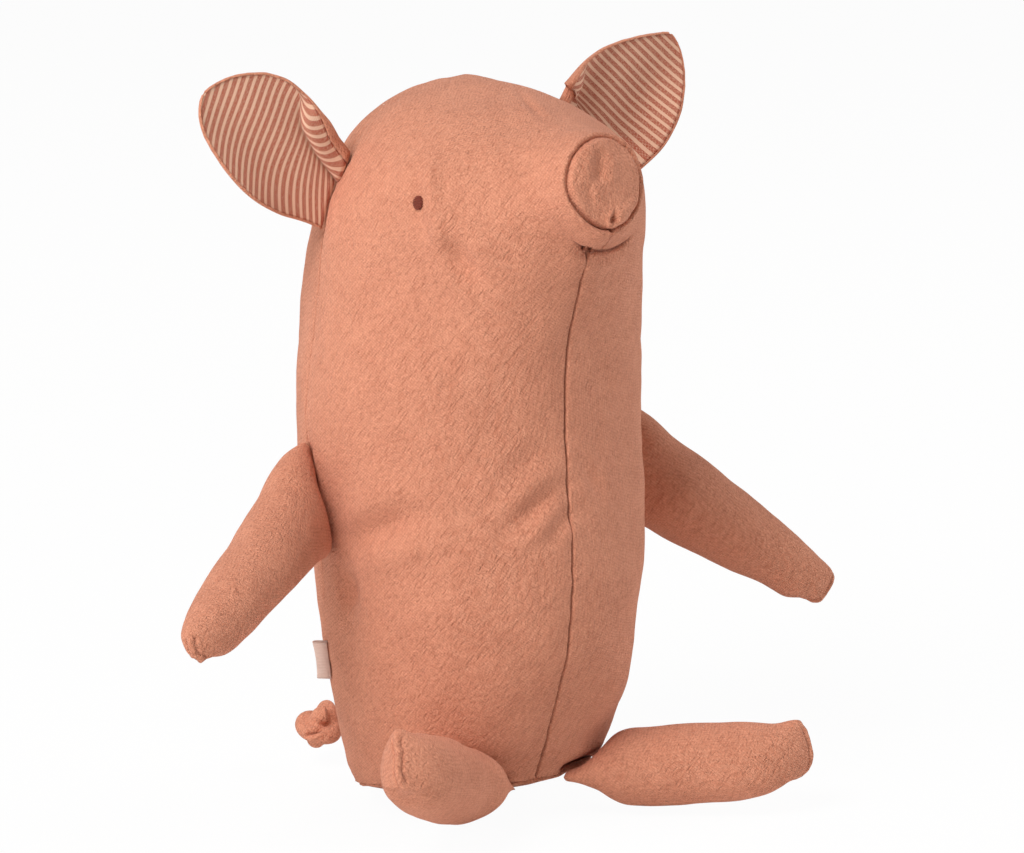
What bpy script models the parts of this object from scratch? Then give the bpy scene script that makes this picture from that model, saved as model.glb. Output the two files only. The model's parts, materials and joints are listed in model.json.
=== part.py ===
"""A stuffed cloth pig that sits upright: cloth covers over fibre filling, with sewn-on limbs, ears and tail.

Metres, +Z up. The pig faces -Y and its own left side is +X. The origin is on the surface that it sits on,
under the middle of its body. One long form makes the trunk and the head. It rises in level rings, and above
the neck the rings turn forward about a point in front of the chest, until they face ahead at the snout.
"""

import itertools
import math

import bmesh
import bpy
from mathutils import Matrix, Vector
from mathutils.bvhtree import BVHTree
from mathutils.geometry import interpolate_bezier

# Cloth, seams and fits
CLOTH_THICKNESS = 0.0009
FIT_GAP = 0.0003
FILLING_GAP = 0.0006
SEAM_GAP = 0.0005
WELD_DISTANCE = 0.00001
RAY_LENGTH = 0.3

# Trunk, from the seat seam up to the neck
NECK_HEIGHT = 0.1895
TRUNK_HALF_WIDTH = 0.059
BELLY_REACH = 0.063
BACK_REACH = 0.060
SIDE_SEAM_BACK = 0.010
BODY_COLUMNS = 28
TRUNK_LEVEL_SHARES = (0.1, 0.17, 0.25, 0.345, 0.45, 0.565, 0.68, 0.785, 0.89)
TRUNK_WIDTH_SHARES = (0.805, 0.86, 0.91, 0.935, 0.95, 0.98, 1.015, 1.01, 0.955)
TRUNK_FRONT_SHARES = (0.67, 0.77, 0.86, 0.955, 0.995, 0.975, 0.905, 0.9, 0.945)
TRUNK_BACK_SHARES = (0.62, 0.67, 0.7, 0.82, 0.92, 0.96, 0.98, 1.0, 1.02)
TRUNK_WIDE_SHARES = (0.07, 0.08, 0.09, 0.065, 0.045, 0.03, 0.0, 0.0, 0.0)
TRUNK_POINT_SHARES = (1.0, 1.0, 1.0, 1.0, 1.0, 1.0, 1.0, 1.0, 1.06)

# Seat: the oval base panel and the seam round it, which lifts at the front above the legs
SEAT_HALF_WIDTH = 0.0455
SEAT_FRONT = 0.041
SEAT_BACK = 0.034
SEAT_WIDE_FORWARD = 0.004
SEAT_FRONT_LIFT = 0.0155
SEAT_BACK_LIFT = 0.007
SEAT_LIFT_POWER = 2
SEAT_BULGE_POWER = 5
SEAT_FLAT_DEPTH = 0.0005
SEAT_RING_SHARES = (0.0, 0.45, 0.7, 0.88, 1.0)

# Head: rings that turn about a point in front of the chest, and end at the round snout
TURN_REACH = 0.0855
TURN_ANGLE = math.radians(80)
CHIN_RADIUS = 0.0165
HEAD_HALF_WIDTH = 0.0535
HEAD_FAR_REACH = 0.146
HEAD_WIDE_REACH = 0.0865
SNOUT_RADIUS = 0.0145
SNOUT_CHIN_RADIUS = 0.0195
SNOUT_CROWN = 0.002
TURN_SHARES = (0.0, 0.17, 0.33, 0.5, 0.66, 0.83, 1.0)
FAR_SHARES = (0.0, 0.07, 0.245, 0.55, 0.845, 0.96, 1.0)
WIDE_SHARES = (0.0, 0.08, 0.33, 0.6, 0.79, 0.915, 1.0)
NARROWING_SHARES = (0.0, 0.0, 0.1, 0.36, 0.71, 0.92, 1.0)
HEAD_POINT_SHARES = (1.12, 1.15, 1.18, 1.22, 1.22, 1.1, 1.0)
DISC_RING_SHARES = (1.0, 0.6, 0.0)

# Eyes: small ovals of raised stitches
EYE_ABOVE_NECK = 0.0265
EYE_FORWARD = 0.041
EYE_SIDE = 0.047
EYE_HALF_WIDTH = 0.0018
EYE_HALF_HEIGHT = 0.0024
EYE_RISE = 0.0006
EYE_SEGMENTS = 12
EYE_RINGS = 6

# Limbs: stuffed tubes, sewn flat at the root and closed flat at the end
LIMB_COLUMNS = 12
LIMB_ROOT_HALF_THICKNESS = 0.0015
LIMB_END_HALF_THICKNESS = 0.0018
LIMB_STEP_SHARES = (0.0, 0.06, 0.13, 0.22, 0.34, 0.48, 0.62, 0.76, 0.88, 0.96, 1.0)
LIMB_BOXY_SHARE = 0.62
END_SWELL_SHARE = 0.34
TIP_ROUND_SHARE = 0.3
TIP_START_SHARE = 0.84

ARM_LENGTH = 0.095
ARM_THICKNESS = 0.033
ARM_ROOT_WIDTH = 0.038
ARM_END_WIDTH = 0.0175
ARM_TAPER_SHARE = 0.6
ARM_LEFT_ROOT_BELOW_NECK = 0.0745
ARM_RIGHT_ROOT_BELOW_NECK = 0.0785
ARM_LEFT_DROP = math.radians(33.5)
ARM_RIGHT_DROP = math.radians(19.5)
ARM_LEFT_FORWARD = math.radians(28)
ARM_RIGHT_FORWARD = math.radians(32.5)
ARM_ROOT_LEAN = 0.010
ARM_SWELL_SHARE = 0.36

LEG_LENGTH = 0.074
LEG_THICKNESS = 0.029
LEG_ROOT_WIDTH = 0.030
LEG_END_WIDTH = 0.028
LEG_ROOT_TURN = math.radians(30)
LEG_TAPER_SHARE = 1.0
LEG_SWELL_SHARE = 0.3
LEG_LEFT_SPLAY = math.radians(54)
LEG_RIGHT_SPLAY = math.radians(52.5)
LEG_LEFT_LIFT = math.radians(3)
LEG_RIGHT_LIFT = math.radians(20)

# Ears: a leaf of cloth with a striped lining, cupped towards the front
EAR_LENGTH = 0.0555
EAR_UPPER_WIDTH = 0.0215
EAR_LOWER_WIDTH = 0.018
EAR_ROOT_ABOVE_NECK = 0.0235
EAR_ROOT_WIDTH = 0.027
EAR_LEFT_RISE = math.radians(54)
EAR_RIGHT_RISE = math.radians(39.5)
EAR_LEFT_SWEEP = math.radians(-12)
EAR_RIGHT_SWEEP = math.radians(6)
EAR_CUP = 0.006
EAR_SWELL_SHARE = 0.38
EAR_STEP_SHARES = (0.0, 0.1, 0.22, 0.36, 0.5, 0.64, 0.77, 0.88, 0.95, 1.0)
EAR_WIDTH_SHARES = (0.62, 0.79, 0.92, 1.0, 1.02, 0.97, 0.83, 0.61, 0.4, 0.1)
EAR_ACROSS_SHARES = (-1.0, -0.8, -0.55, -0.28, 0.0, 0.28, 0.55, 0.8, 1.0)

# Tail: a narrow cloth tube tied in one knot
TAIL_RADIUS = 0.0020
TAIL_ROOT_HEIGHT = 0.030
TAIL_TURN = math.radians(46)
TAIL_DROP = math.radians(27.5)
TAIL_BEND_SHARE = 0.3
TAIL_ROOT_GAP = 0.0009
TAIL_HINGE_REACH = 0.0025
KNOT_DISTANCE = 0.0335
KNOT_LOOP_RADIUS = 0.0050
KNOT_STRAND_RADIUS = 0.0023
KNOT_HALF_DEPTH = 0.0040
KNOT_OPENING_SHARE = 0.06
KNOT_STEPS = 48
STRAP_STEPS = 10
TAIL_BEVEL_RESOLUTION = 1

# Side tab: a loop of bare ribbon, sewn in the side seam
TAB_HEIGHT = 0.0535
TAB_WIDTH = 0.013
TAB_LENGTH = 0.0046
TAB_THICKNESS = 0.0005
TAB_LOOP_RADIUS = 0.0007
TAB_SWEEP = math.radians(56)
TAB_BEND_STEPS = 4

FLOOR_CUTTER_SIZE = 0.3

EMPTY_SIZE = 0.015
MILLIMETRES = 1000

LINEN = (0.69, 0.285, 0.165)
LINING = (0.62, 0.27, 0.17)
FILLING = (0.85, 0.83, 0.78)
THREAD = (0.13, 0.02, 0.01)
RIBBON = (0.66, 0.45, 0.37)
CLOTH_ROUGHNESS = 0.9
FIBRE_ROUGHNESS = 1.0
THREAD_ROUGHNESS = 0.5
RIBBON_ROUGHNESS = 0.7

UP = Vector((0, 0, 1))
BACKWARD = Vector((0, 1, 0))
FORWARD = Vector((0, -1, 0))
LEFT = Vector((1, 0, 0))
RIGHT = Vector((-1, 0, 0))


def clear_scene():
    for obj in list(bpy.data.objects):
        bpy.data.objects.remove(obj)


def new_collection(name):
    collection = bpy.data.collections.new(name)
    bpy.context.scene.collection.children.link(collection)
    return collection


def new_material(name, colour, roughness):
    material = bpy.data.materials.new(name)
    material.use_nodes = True
    shader = material.node_tree.nodes["Principled BSDF"]
    shader.inputs["Base Color"].default_value = (*colour, 1)
    shader.inputs["Roughness"].default_value = roughness
    shader.inputs["Metallic"].default_value = 0
    return material


def new_object(name, bm, collection, material, hinge=None):
    """Makes the mesh an object. A piece that moves hangs from the empty on its hinge."""
    mesh = bpy.data.meshes.new(name)
    bm.to_mesh(mesh)
    bm.free()
    mesh.shade_smooth()
    mesh.materials.append(material)
    obj = bpy.data.objects.new(name, mesh)
    collection.objects.link(obj)
    if hinge:
        obj.parent = hinge
        obj.matrix_parent_inverse = hinge.matrix_world.inverted()
    return obj


def new_hinge(name, place, axis, collection):
    """An empty whose own Z runs along the hinge."""
    hinge = bpy.data.objects.new(name, None)
    turn = UP.rotation_difference(axis).to_matrix().to_4x4()
    hinge.matrix_world = Matrix.Translation(place) @ turn
    hinge.empty_display_size = EMPTY_SIZE
    collection.objects.link(hinge)
    bpy.context.view_layer.update()
    return hinge


def thicken(obj, thickness, side=-1):
    """Gives cloth its thickness: inwards for -1, outwards for 1."""
    solidify = obj.modifiers.new("cloth", "SOLIDIFY")
    solidify.thickness = thickness
    solidify.offset = side


def lay_cloth(rows):
    """A grid of cloth laid through rows of points. Rings and poles close where their points meet."""
    bm = bmesh.new()
    across = len(rows[0])
    bmesh.ops.create_grid(bm, x_segments=across - 1, y_segments=len(rows) - 1, size=1)
    for vert, place in zip(list(bm.verts), itertools.chain(*rows), strict=True):
        vert.co = place
    bmesh.ops.remove_doubles(bm, verts=bm.verts, dist=WELD_DISTANCE)
    bmesh.ops.dissolve_degenerate(bm, edges=bm.edges, dist=WELD_DISTANCE)
    bm.normal_update()
    return bm


def shrink(bm, inset):
    """Moves a closed form's surface inwards by the same distance everywhere, also at its seams."""
    bm.normal_update()
    moves = [vert.normal * inset * vert.calc_shell_factor() for vert in bm.verts]
    for vert, move in zip(bm.verts, moves):
        vert.co -= move
    return bm


def keep_side(bm, place, normal):
    """Cuts along a plane and keeps the side that the normal points to."""
    parts = bm.verts[:] + bm.edges[:] + bm.faces[:]
    bmesh.ops.bisect_plane(bm, geom=parts, dist=WELD_DISTANCE, plane_co=place, plane_no=normal, clear_inner=True)
    return bm


def close_ends(bm):
    bmesh.ops.holes_fill(bm, edges=[edge for edge in bm.edges if edge.is_boundary])
    bmesh.ops.triangulate(bm, faces=[face for face in bm.faces if len(face.verts) > 4])
    bmesh.ops.recalc_face_normals(bm, faces=bm.faces)
    return bm


def ring(centre, outward, near, wide, far, half_width, point=1):
    """Points of an egg-shaped ring, from its near end round by the pig's left, with the first point again last.

    A point value over 1 makes the near half more pointed than an ellipse.
    """
    points = []
    for column in range(BODY_COLUMNS + 1):
        turn = math.tau * (column % BODY_COLUMNS) / BODY_COLUMNS
        end, power = (near, point) if math.cos(turn) > 0 else (far, 1)
        along = wide + (end - wide) * abs(math.cos(turn)) ** power
        side = math.copysign(abs(math.sin(turn)) ** power, math.sin(turn))
        points.append(centre + outward * along + LEFT * half_width * side)
    return points


def draw_in(row, next_row, distance):
    """Moves a row of points towards the next one, along the cloth."""
    return [place + (beyond - place).normalized() * distance for place, beyond in zip(row, next_row)]


def mix(first, second, share):
    return first + (second - first) * share


def seat_rows():
    """From the middle of the base panel out to the seam round it."""
    rows = []
    for share in SEAT_RING_SHARES:
        row = ring(
            Vector(),
            BACKWARD,
            -SEAT_FRONT * share,
            -SEAT_WIDE_FORWARD * share,
            SEAT_BACK * share,
            SEAT_HALF_WIDTH * share,
        )
        for column, place in enumerate(row):
            lift_share = ((1 + math.cos(math.tau * column / BODY_COLUMNS)) / 2) ** SEAT_LIFT_POWER
            seam_height = mix(SEAT_BACK_LIFT, SEAT_FRONT_LIFT, lift_share)
            place.z = mix(-SEAT_FLAT_DEPTH, seam_height, share**SEAT_BULGE_POWER)
        rows.append(row)
    return rows


def trunk_rows():
    tables = (
        TRUNK_LEVEL_SHARES,
        TRUNK_FRONT_SHARES,
        TRUNK_WIDE_SHARES,
        TRUNK_BACK_SHARES,
        TRUNK_WIDTH_SHARES,
        TRUNK_POINT_SHARES,
    )
    return [
        ring(
            UP * NECK_HEIGHT * level,
            BACKWARD,
            -BELLY_REACH * front,
            -BELLY_REACH * wide,
            BACK_REACH * back,
            TRUNK_HALF_WIDTH * width,
            point,
        )
        for level, front, wide, back, width, point in zip(*tables, strict=True)
    ]


def head_rows():
    """Rings that turn forward and close in on the snout."""
    pivot = FORWARD * TURN_REACH + UP * NECK_HEIGHT
    rows = []
    tables = (TURN_SHARES, FAR_SHARES, WIDE_SHARES, NARROWING_SHARES, HEAD_POINT_SHARES)
    for turn, far, wide, narrowing, point in zip(*tables, strict=True):
        angle = TURN_ANGLE * turn
        outward = BACKWARD * math.cos(angle) + UP * math.sin(angle)
        near_reach = mix(CHIN_RADIUS, SNOUT_CHIN_RADIUS, turn)
        wide_reach = mix(HEAD_WIDE_REACH, SNOUT_CHIN_RADIUS + SNOUT_RADIUS, wide)
        far_reach = mix(HEAD_FAR_REACH, SNOUT_CHIN_RADIUS + 2 * SNOUT_RADIUS, far)
        half_width = mix(HEAD_HALF_WIDTH, SNOUT_RADIUS, narrowing)
        rows.append(ring(pivot, outward, near_reach, wide_reach, far_reach, half_width, point))
    return rows


def disc_frame():
    """The middle of the snout's end and the way that it faces."""
    outward = BACKWARD * math.cos(TURN_ANGLE) + UP * math.sin(TURN_ANGLE)
    centre = FORWARD * TURN_REACH + UP * NECK_HEIGHT + outward * (SNOUT_CHIN_RADIUS + SNOUT_RADIUS)
    return centre, outward.cross(RIGHT)


def disc_rows():
    """The snout's end, slightly crowned, from its seam to its middle."""
    centre, facing = disc_frame()
    rim = head_rows()[-1]
    rows = []
    for share in DISC_RING_SHARES:
        crown = facing * SNOUT_CROWN * (1 - share**2)
        rows.append([centre + (place - centre) * share + crown for place in rim])
    return rows


def body_form():
    """The closed outer surface of trunk and head."""
    rows = seat_rows() + trunk_rows() + head_rows() + disc_rows()[1:]
    return lay_cloth(rows)


def body_cover():
    """The cloth from the seat seam to the snout's seam, before it is cut into panels."""
    return lay_cloth(seat_rows()[-1:] + trunk_rows() + head_rows())


def build_covers(collection, linen):
    """Front panel with its seam below the snout, two back panels, base panel and snout disc."""
    half_gap = SEAM_GAP / 2
    seam = BACKWARD * SIDE_SEAM_BACK
    front = keep_side(body_cover(), seam + FORWARD * half_gap, FORWARD)
    disc_height = disc_frame()[0].z
    for side in (LEFT, RIGHT):
        below = [face for face in front.faces if face.calc_center_median().z < disc_height]
        parts = {part for face in below for part in (*face.verts, *face.edges, face)}
        bmesh.ops.bisect_plane(front, geom=list(parts), dist=WELD_DISTANCE, plane_co=side * half_gap, plane_no=side)
    slit = [
        face
        for face in front.faces
        if abs(face.calc_center_median().x) < half_gap and face.calc_center_median().z < disc_height
    ]
    bmesh.ops.delete(front, geom=slit, context="FACES")
    thicken(new_object("front_panel", front, collection, linen), CLOTH_THICKNESS)

    for name, side in (("back_panel_left", LEFT), ("back_panel_right", RIGHT)):
        back = keep_side(body_cover(), seam + BACKWARD * half_gap, BACKWARD)
        keep_side(back, side * half_gap, side)
        thicken(new_object(name, back, collection, linen), CLOTH_THICKNESS)

    seam_turning = CLOTH_THICKNESS + FIT_GAP
    seat = seat_rows()
    seat[-1] = draw_in(seat[-1], seat[-2], seam_turning)
    base_panel = new_object("base_panel", lay_cloth(seat), collection, linen)
    thicken(base_panel, CLOTH_THICKNESS)

    disc = disc_rows()
    disc[0] = draw_in(disc[0], disc[1], seam_turning)
    thicken(new_object("snout_disc", lay_cloth(disc), collection, linen), CLOTH_THICKNESS)
    return base_panel


def cut_flat(obj, cutters):
    """Cuts away what would reach below the surface that the pig sits on."""
    bm = bmesh.new()
    block = Matrix.Translation(UP * (-FLOOR_CUTTER_SIZE / 2))
    bmesh.ops.create_cube(bm, size=FLOOR_CUTTER_SIZE, matrix=block)
    cutter = new_object("floor_cutter", bm, cutters, new_material("cutter", FILLING, FIBRE_ROUGHNESS))
    cutter.hide_render = True
    cutter.display_type = "WIRE"
    boolean = obj.modifiers.new("flat seat", "BOOLEAN")
    boolean.operation = "DIFFERENCE"
    boolean.object = cutter


def build_filling(collection, filling):
    """Fibre filling of trunk and head, packed from one bag of cloth and parted at the neck."""
    inset = CLOTH_THICKNESS + FILLING_GAP
    for name, side in (("body_filling", -UP), ("head_filling", UP)):
        bm = shrink(body_form(), inset)
        keep_side(bm, UP * NECK_HEIGHT * TRUNK_LEVEL_SHARES[-1] + side * FIT_GAP / 2, side)
        new_object(name, close_ends(bm), collection, filling)


def on_surface(surface, start, direction):
    """The point and the normal where a ray from inside leaves the body."""
    place, normal, _, _ = surface.ray_cast(start, direction, RAY_LENGTH)
    return place, normal


def build_eyes(surface, collection, thread):
    for name, side in (("eye_left", LEFT), ("eye_right", RIGHT)):
        start = UP * (NECK_HEIGHT + EYE_ABOVE_NECK)
        place, normal = on_surface(surface, start, (side * EYE_SIDE + FORWARD * EYE_FORWARD).normalized())
        across = UP.cross(normal).normalized()
        upward = normal.cross(across)
        seat = place + normal * (FIT_GAP + EYE_RISE)
        turn = Matrix((across, upward, normal)).transposed().to_4x4()
        size = Matrix.Diagonal((EYE_HALF_WIDTH, EYE_HALF_HEIGHT, EYE_RISE, 1))
        bm = bmesh.new()
        bmesh.ops.create_uvsphere(
            bm,
            u_segments=EYE_SEGMENTS,
            v_segments=EYE_RINGS,
            radius=1,
            matrix=Matrix.Translation(seat) @ turn @ size,
        )
        new_object(name, bm, collection, thread)


def swell(share, reach):
    """How full a limb is at this share of the way from a flat seam: 0 at the seam, 1 where it is round."""
    return math.sin(math.pi / 2 * min(1, share / reach))


def limb_rows(root, root_line, heading, length, thickness, taper, root_width, end_width, root_swell, end_across):
    """Rings of a stuffed limb. It is flat along root_line at the root, round in the middle and flat at the end.

    Its full thickness there shrinks to the share taper of itself towards the end.
    The end's seam lies along the root line for an arm, and across it for a leg, when end_across is true.
    """
    thick_way = heading.cross(root_line).normalized()
    square_line = thick_way.cross(heading).normalized()
    rows = []
    for step in LIMB_STEP_SHARES:
        rooted = swell(step, root_swell)
        ended = swell(1 - step, END_SWELL_SHARE)
        line = mix(root_line, square_line, rooted).normalized()
        full = mix(1, taper, step) * thickness / 2
        wide = mix(root_width / 2, full, rooted)
        deep = mix(LIMB_ROOT_HALF_THICKNESS, full, rooted)
        tip = max(0, step - TIP_START_SHARE) / (1 - TIP_START_SHARE)
        tall = mix(end_width / 2, full, ended) * (1 - TIP_ROUND_SHARE * tip**2)
        thin = mix(LIMB_END_HALF_THICKNESS, full, ended**0.5)
        if end_across:
            wide, deep = wide * thin / full, deep * tall / full
        else:
            wide, deep = wide * tall / full, deep * thin / full
        boxy = mix(1, LIMB_BOXY_SHARE, max(1 - rooted, 1 - ended))
        row = []
        for column in range(LIMB_COLUMNS + 1):
            turn = math.tau * (column % LIMB_COLUMNS) / LIMB_COLUMNS
            along_line = wide * math.copysign(abs(math.cos(turn)) ** boxy, math.cos(turn))
            along_depth = deep * math.copysign(abs(math.sin(turn)) ** boxy, math.sin(turn))
            row.append(root + heading * length * step + line * along_line + thick_way * along_depth)
        rows.append(row)
    return rows


def close_row(row):
    """A row of the same length with all its points in the middle of this one."""
    middle = sum(row[:-1], Vector()) / (len(row) - 1)
    return [middle] * len(row)


def build_limb(name, rows, hinge, collection, linen, filling):
    """A cloth sock, open at its root, and the filling inside it."""
    cover = lay_cloth([*rows, close_row(rows[-1])])
    inner_rows = rows[1:-1]
    inside = lay_cloth([close_row(inner_rows[0]), *inner_rows, close_row(inner_rows[-1])])
    bmesh.ops.recalc_face_normals(cover, faces=cover.faces)
    bmesh.ops.recalc_face_normals(inside, faces=inside.faces)
    thicken(new_object(f"{name}_cover", cover, collection, linen, hinge), CLOTH_THICKNESS)
    shrink(inside, CLOTH_THICKNESS + FIT_GAP)
    new_object(f"{name}_filling", inside, collection, filling, hinge)


def build_arms(surface, collection, linen, filling):
    """Each arm is sewn flat into the side seam, which leans back a little towards its top."""
    stand_off = LIMB_ROOT_HALF_THICKNESS + FIT_GAP
    arms = (
        ("arm_left", LEFT, ARM_LEFT_ROOT_BELOW_NECK, ARM_LEFT_DROP, ARM_LEFT_FORWARD),
        ("arm_right", RIGHT, ARM_RIGHT_ROOT_BELOW_NECK, ARM_RIGHT_DROP, ARM_RIGHT_FORWARD),
    )
    for name, side, below_neck, drop, forward in arms:
        root_height = NECK_HEIGHT - below_neck
        ends = []
        for lean in (-1, 1):
            start = UP * (root_height + lean * ARM_ROOT_WIDTH / 2)
            start += BACKWARD * (SIDE_SEAM_BACK + (lean - 1) * ARM_ROOT_LEAN / 2)
            ends.append(on_surface(surface, start, side)[0])
        root_line = (ends[1] - ends[0]).normalized()
        root = (ends[0] + ends[1]) / 2 + side * stand_off
        level = side * math.cos(forward) + FORWARD * math.sin(forward)
        heading = level * math.cos(drop) - UP * math.sin(drop)
        hinge = new_hinge(f"{name}_hinge", root, root_line, collection)
        rows = limb_rows(
            root,
            root_line,
            heading,
            ARM_LENGTH,
            ARM_THICKNESS,
            ARM_TAPER_SHARE,
            ARM_ROOT_WIDTH,
            ARM_END_WIDTH,
            ARM_SWELL_SHARE,
            end_across=False,
        )
        build_limb(name, rows, hinge, collection, linen, filling)


def build_legs(collection, linen, filling):
    """Each leg is sewn flat into the front of the seat seam."""
    seam = seat_rows()[-1]
    stand_off = LIMB_ROOT_HALF_THICKNESS + FIT_GAP
    legs = (
        ("leg_left", LEFT, LEG_LEFT_SPLAY, LEG_LEFT_LIFT),
        ("leg_right", RIGHT, LEG_RIGHT_SPLAY, LEG_RIGHT_LIFT),
    )
    for name, side, splay, lift in legs:
        place = Vector((side.x * SEAT_HALF_WIDTH * math.sin(LEG_ROOT_TURN), -SEAT_FRONT * math.cos(LEG_ROOT_TURN), 0))
        place.z = min(seam, key=lambda point: (point.xy - place.xy).length).z
        along = Vector((side.x * SEAT_HALF_WIDTH * math.cos(LEG_ROOT_TURN), SEAT_FRONT * math.sin(LEG_ROOT_TURN), 0))
        root_line = along.normalized()
        away = Vector((side.x * abs(root_line.y), -abs(root_line.x), 0))
        root = place + away * stand_off
        level = side * math.sin(splay) + FORWARD * math.cos(splay)
        heading = level * math.cos(lift) + UP * math.sin(lift)
        hinge = new_hinge(f"{name}_hinge", root, -side.x * root_line, collection)
        rows = limb_rows(
            root,
            root_line,
            heading,
            LEG_LENGTH,
            LEG_THICKNESS,
            LEG_TAPER_SHARE,
            LEG_ROOT_WIDTH,
            LEG_END_WIDTH,
            LEG_SWELL_SHARE,
            end_across=True,
        )
        build_limb(name, rows, hinge, collection, linen, filling)


def ear_rows(root, root_line, heading, facing):
    """The leaf of an ear, from its root to its tip, cupped towards the way that it faces."""
    square_line = facing.cross(heading).normalized()
    if square_line.dot(root_line) < 0:
        square_line = -square_line
    rows = []
    for step, width in zip(EAR_STEP_SHARES, EAR_WIDTH_SHARES, strict=True):
        line = mix(root_line, square_line, swell(step, EAR_SWELL_SHARE)).normalized()
        row = []
        for across in EAR_ACROSS_SHARES:
            half = EAR_UPPER_WIDTH if across > 0 else EAR_LOWER_WIDTH
            cup = EAR_CUP * across**2 * math.sin(math.pi * step) ** 0.5
            row.append(root + heading * EAR_LENGTH * step + line * half * width * across + facing * cup)
        rows.append(row)
    return rows


def build_ears(surface, collection, linen, lining):
    """Each ear is sewn into the side seam at the top of the head."""
    stand_off = CLOTH_THICKNESS + FIT_GAP
    root_height = NECK_HEIGHT + EAR_ROOT_ABOVE_NECK
    ears = (
        ("ear_left", LEFT, EAR_LEFT_RISE, EAR_LEFT_SWEEP),
        ("ear_right", RIGHT, EAR_RIGHT_RISE, EAR_RIGHT_SWEEP),
    )
    for name, side, rise, sweep in ears:
        ends = []
        for half in (-1, 1):
            start = UP * (root_height + half * EAR_ROOT_WIDTH / 2) + BACKWARD * SIDE_SEAM_BACK
            ends.append(on_surface(surface, start, side)[0])
        middle = on_surface(surface, UP * root_height + BACKWARD * SIDE_SEAM_BACK, side)[0]
        root_line = (ends[1] - ends[0]).normalized()
        root = middle + side * stand_off
        level = side * math.cos(sweep) + BACKWARD * math.sin(sweep)
        heading = level * math.cos(rise) + UP * math.sin(rise)
        facing = root_line.cross(heading).normalized()
        if facing.dot(FORWARD) < 0:
            facing = -facing
        hinge = new_hinge(f"{name}_hinge", root, root_line, collection)
        for layer, material, way in (("outer", linen, -1), ("lining", lining, 1)):
            bm = lay_cloth(ear_rows(root, root_line, heading, facing))
            if bm.faces[:][0].normal.dot(facing) * way < 0:
                bmesh.ops.reverse_faces(bm, faces=bm.faces)
                bm.normal_update()
            for vert, normal in [(vert, vert.normal.copy()) for vert in bm.verts]:
                vert.co += normal * FIT_GAP / 2
            sheet = new_object(f"{name}_{layer}", bm, collection, material, hinge)
            thicken(sheet, CLOTH_THICKNESS, side=1)


def knot_path():
    """An overhand knot: a trefoil opened at its outermost point, with its middle at the origin."""
    points = []
    for step in range(KNOT_STEPS + 1):
        turn = math.tau * mix(KNOT_OPENING_SHARE, 1 - KNOT_OPENING_SHARE, step / KNOT_STEPS)
        reach = KNOT_LOOP_RADIUS + KNOT_STRAND_RADIUS * math.cos(3 * turn)
        height = KNOT_HALF_DEPTH * math.sin(3 * turn)
        points.append(Vector((reach * math.cos(2 * turn), reach * math.sin(2 * turn), height)))
    return points


def least_gap(points, diameter):
    """The least gap between parts of a tube that lie more than two diameters apart along it."""
    lengths = [0]
    for first, second in itertools.pairwise(points):
        lengths.append(lengths[-1] + (second - first).length)
    apart = 2 * diameter
    pairs = itertools.combinations(range(len(points)), 2)
    return min((points[a] - points[b]).length for a, b in pairs if lengths[b] - lengths[a] > apart) - diameter


def build_tail(surface, collection, linen):
    """The tail hangs from the back seam, turned to the pig's right. It is one unbroken tube with a knot in it."""
    seat, _ = on_surface(surface, UP * TAIL_ROOT_HEIGHT, BACKWARD)
    root = seat + BACKWARD * TAIL_ROOT_GAP
    level = BACKWARD * math.cos(TAIL_TURN) + RIGHT * math.sin(TAIL_TURN)
    heading = level * math.cos(TAIL_DROP) - UP * math.sin(TAIL_DROP)
    across = heading.cross(UP).normalized()
    turn = Matrix((-heading, across, heading.cross(across))).transposed()
    knot = [root + heading * KNOT_DISTANCE + turn @ point for point in knot_path()]
    reach = KNOT_DISTANCE * TAIL_BEND_SHARE
    into_knot = (knot[1] - knot[0]).normalized()
    handles = (root + BACKWARD * reach, knot[0] - into_knot * reach)
    strap = interpolate_bezier(root, *handles, knot[0], STRAP_STEPS)
    places = [*strap[:-1], *knot]
    print(f"tail: least gap {least_gap(places, 2 * TAIL_RADIUS) * MILLIMETRES:.2f} mm")

    curve = bpy.data.curves.new("tail", "CURVE")
    curve.dimensions = "3D"
    curve.bevel_depth = TAIL_RADIUS
    curve.bevel_resolution = TAIL_BEVEL_RESOLUTION
    curve.use_fill_caps = True
    spline = curve.splines.new("POLY")
    spline.points.add(len(places) - 1)
    for point, place in zip(spline.points, places):
        point.co = (*place, 1)
    curve.materials.append(linen)
    tail = bpy.data.objects.new("tail", curve)
    collection.objects.link(tail)
    hinge = new_hinge("tail_hinge", root + BACKWARD * TAIL_HINGE_REACH, UP, collection)
    tail.parent = hinge
    tail.matrix_parent_inverse = hinge.matrix_world.inverted()


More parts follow.
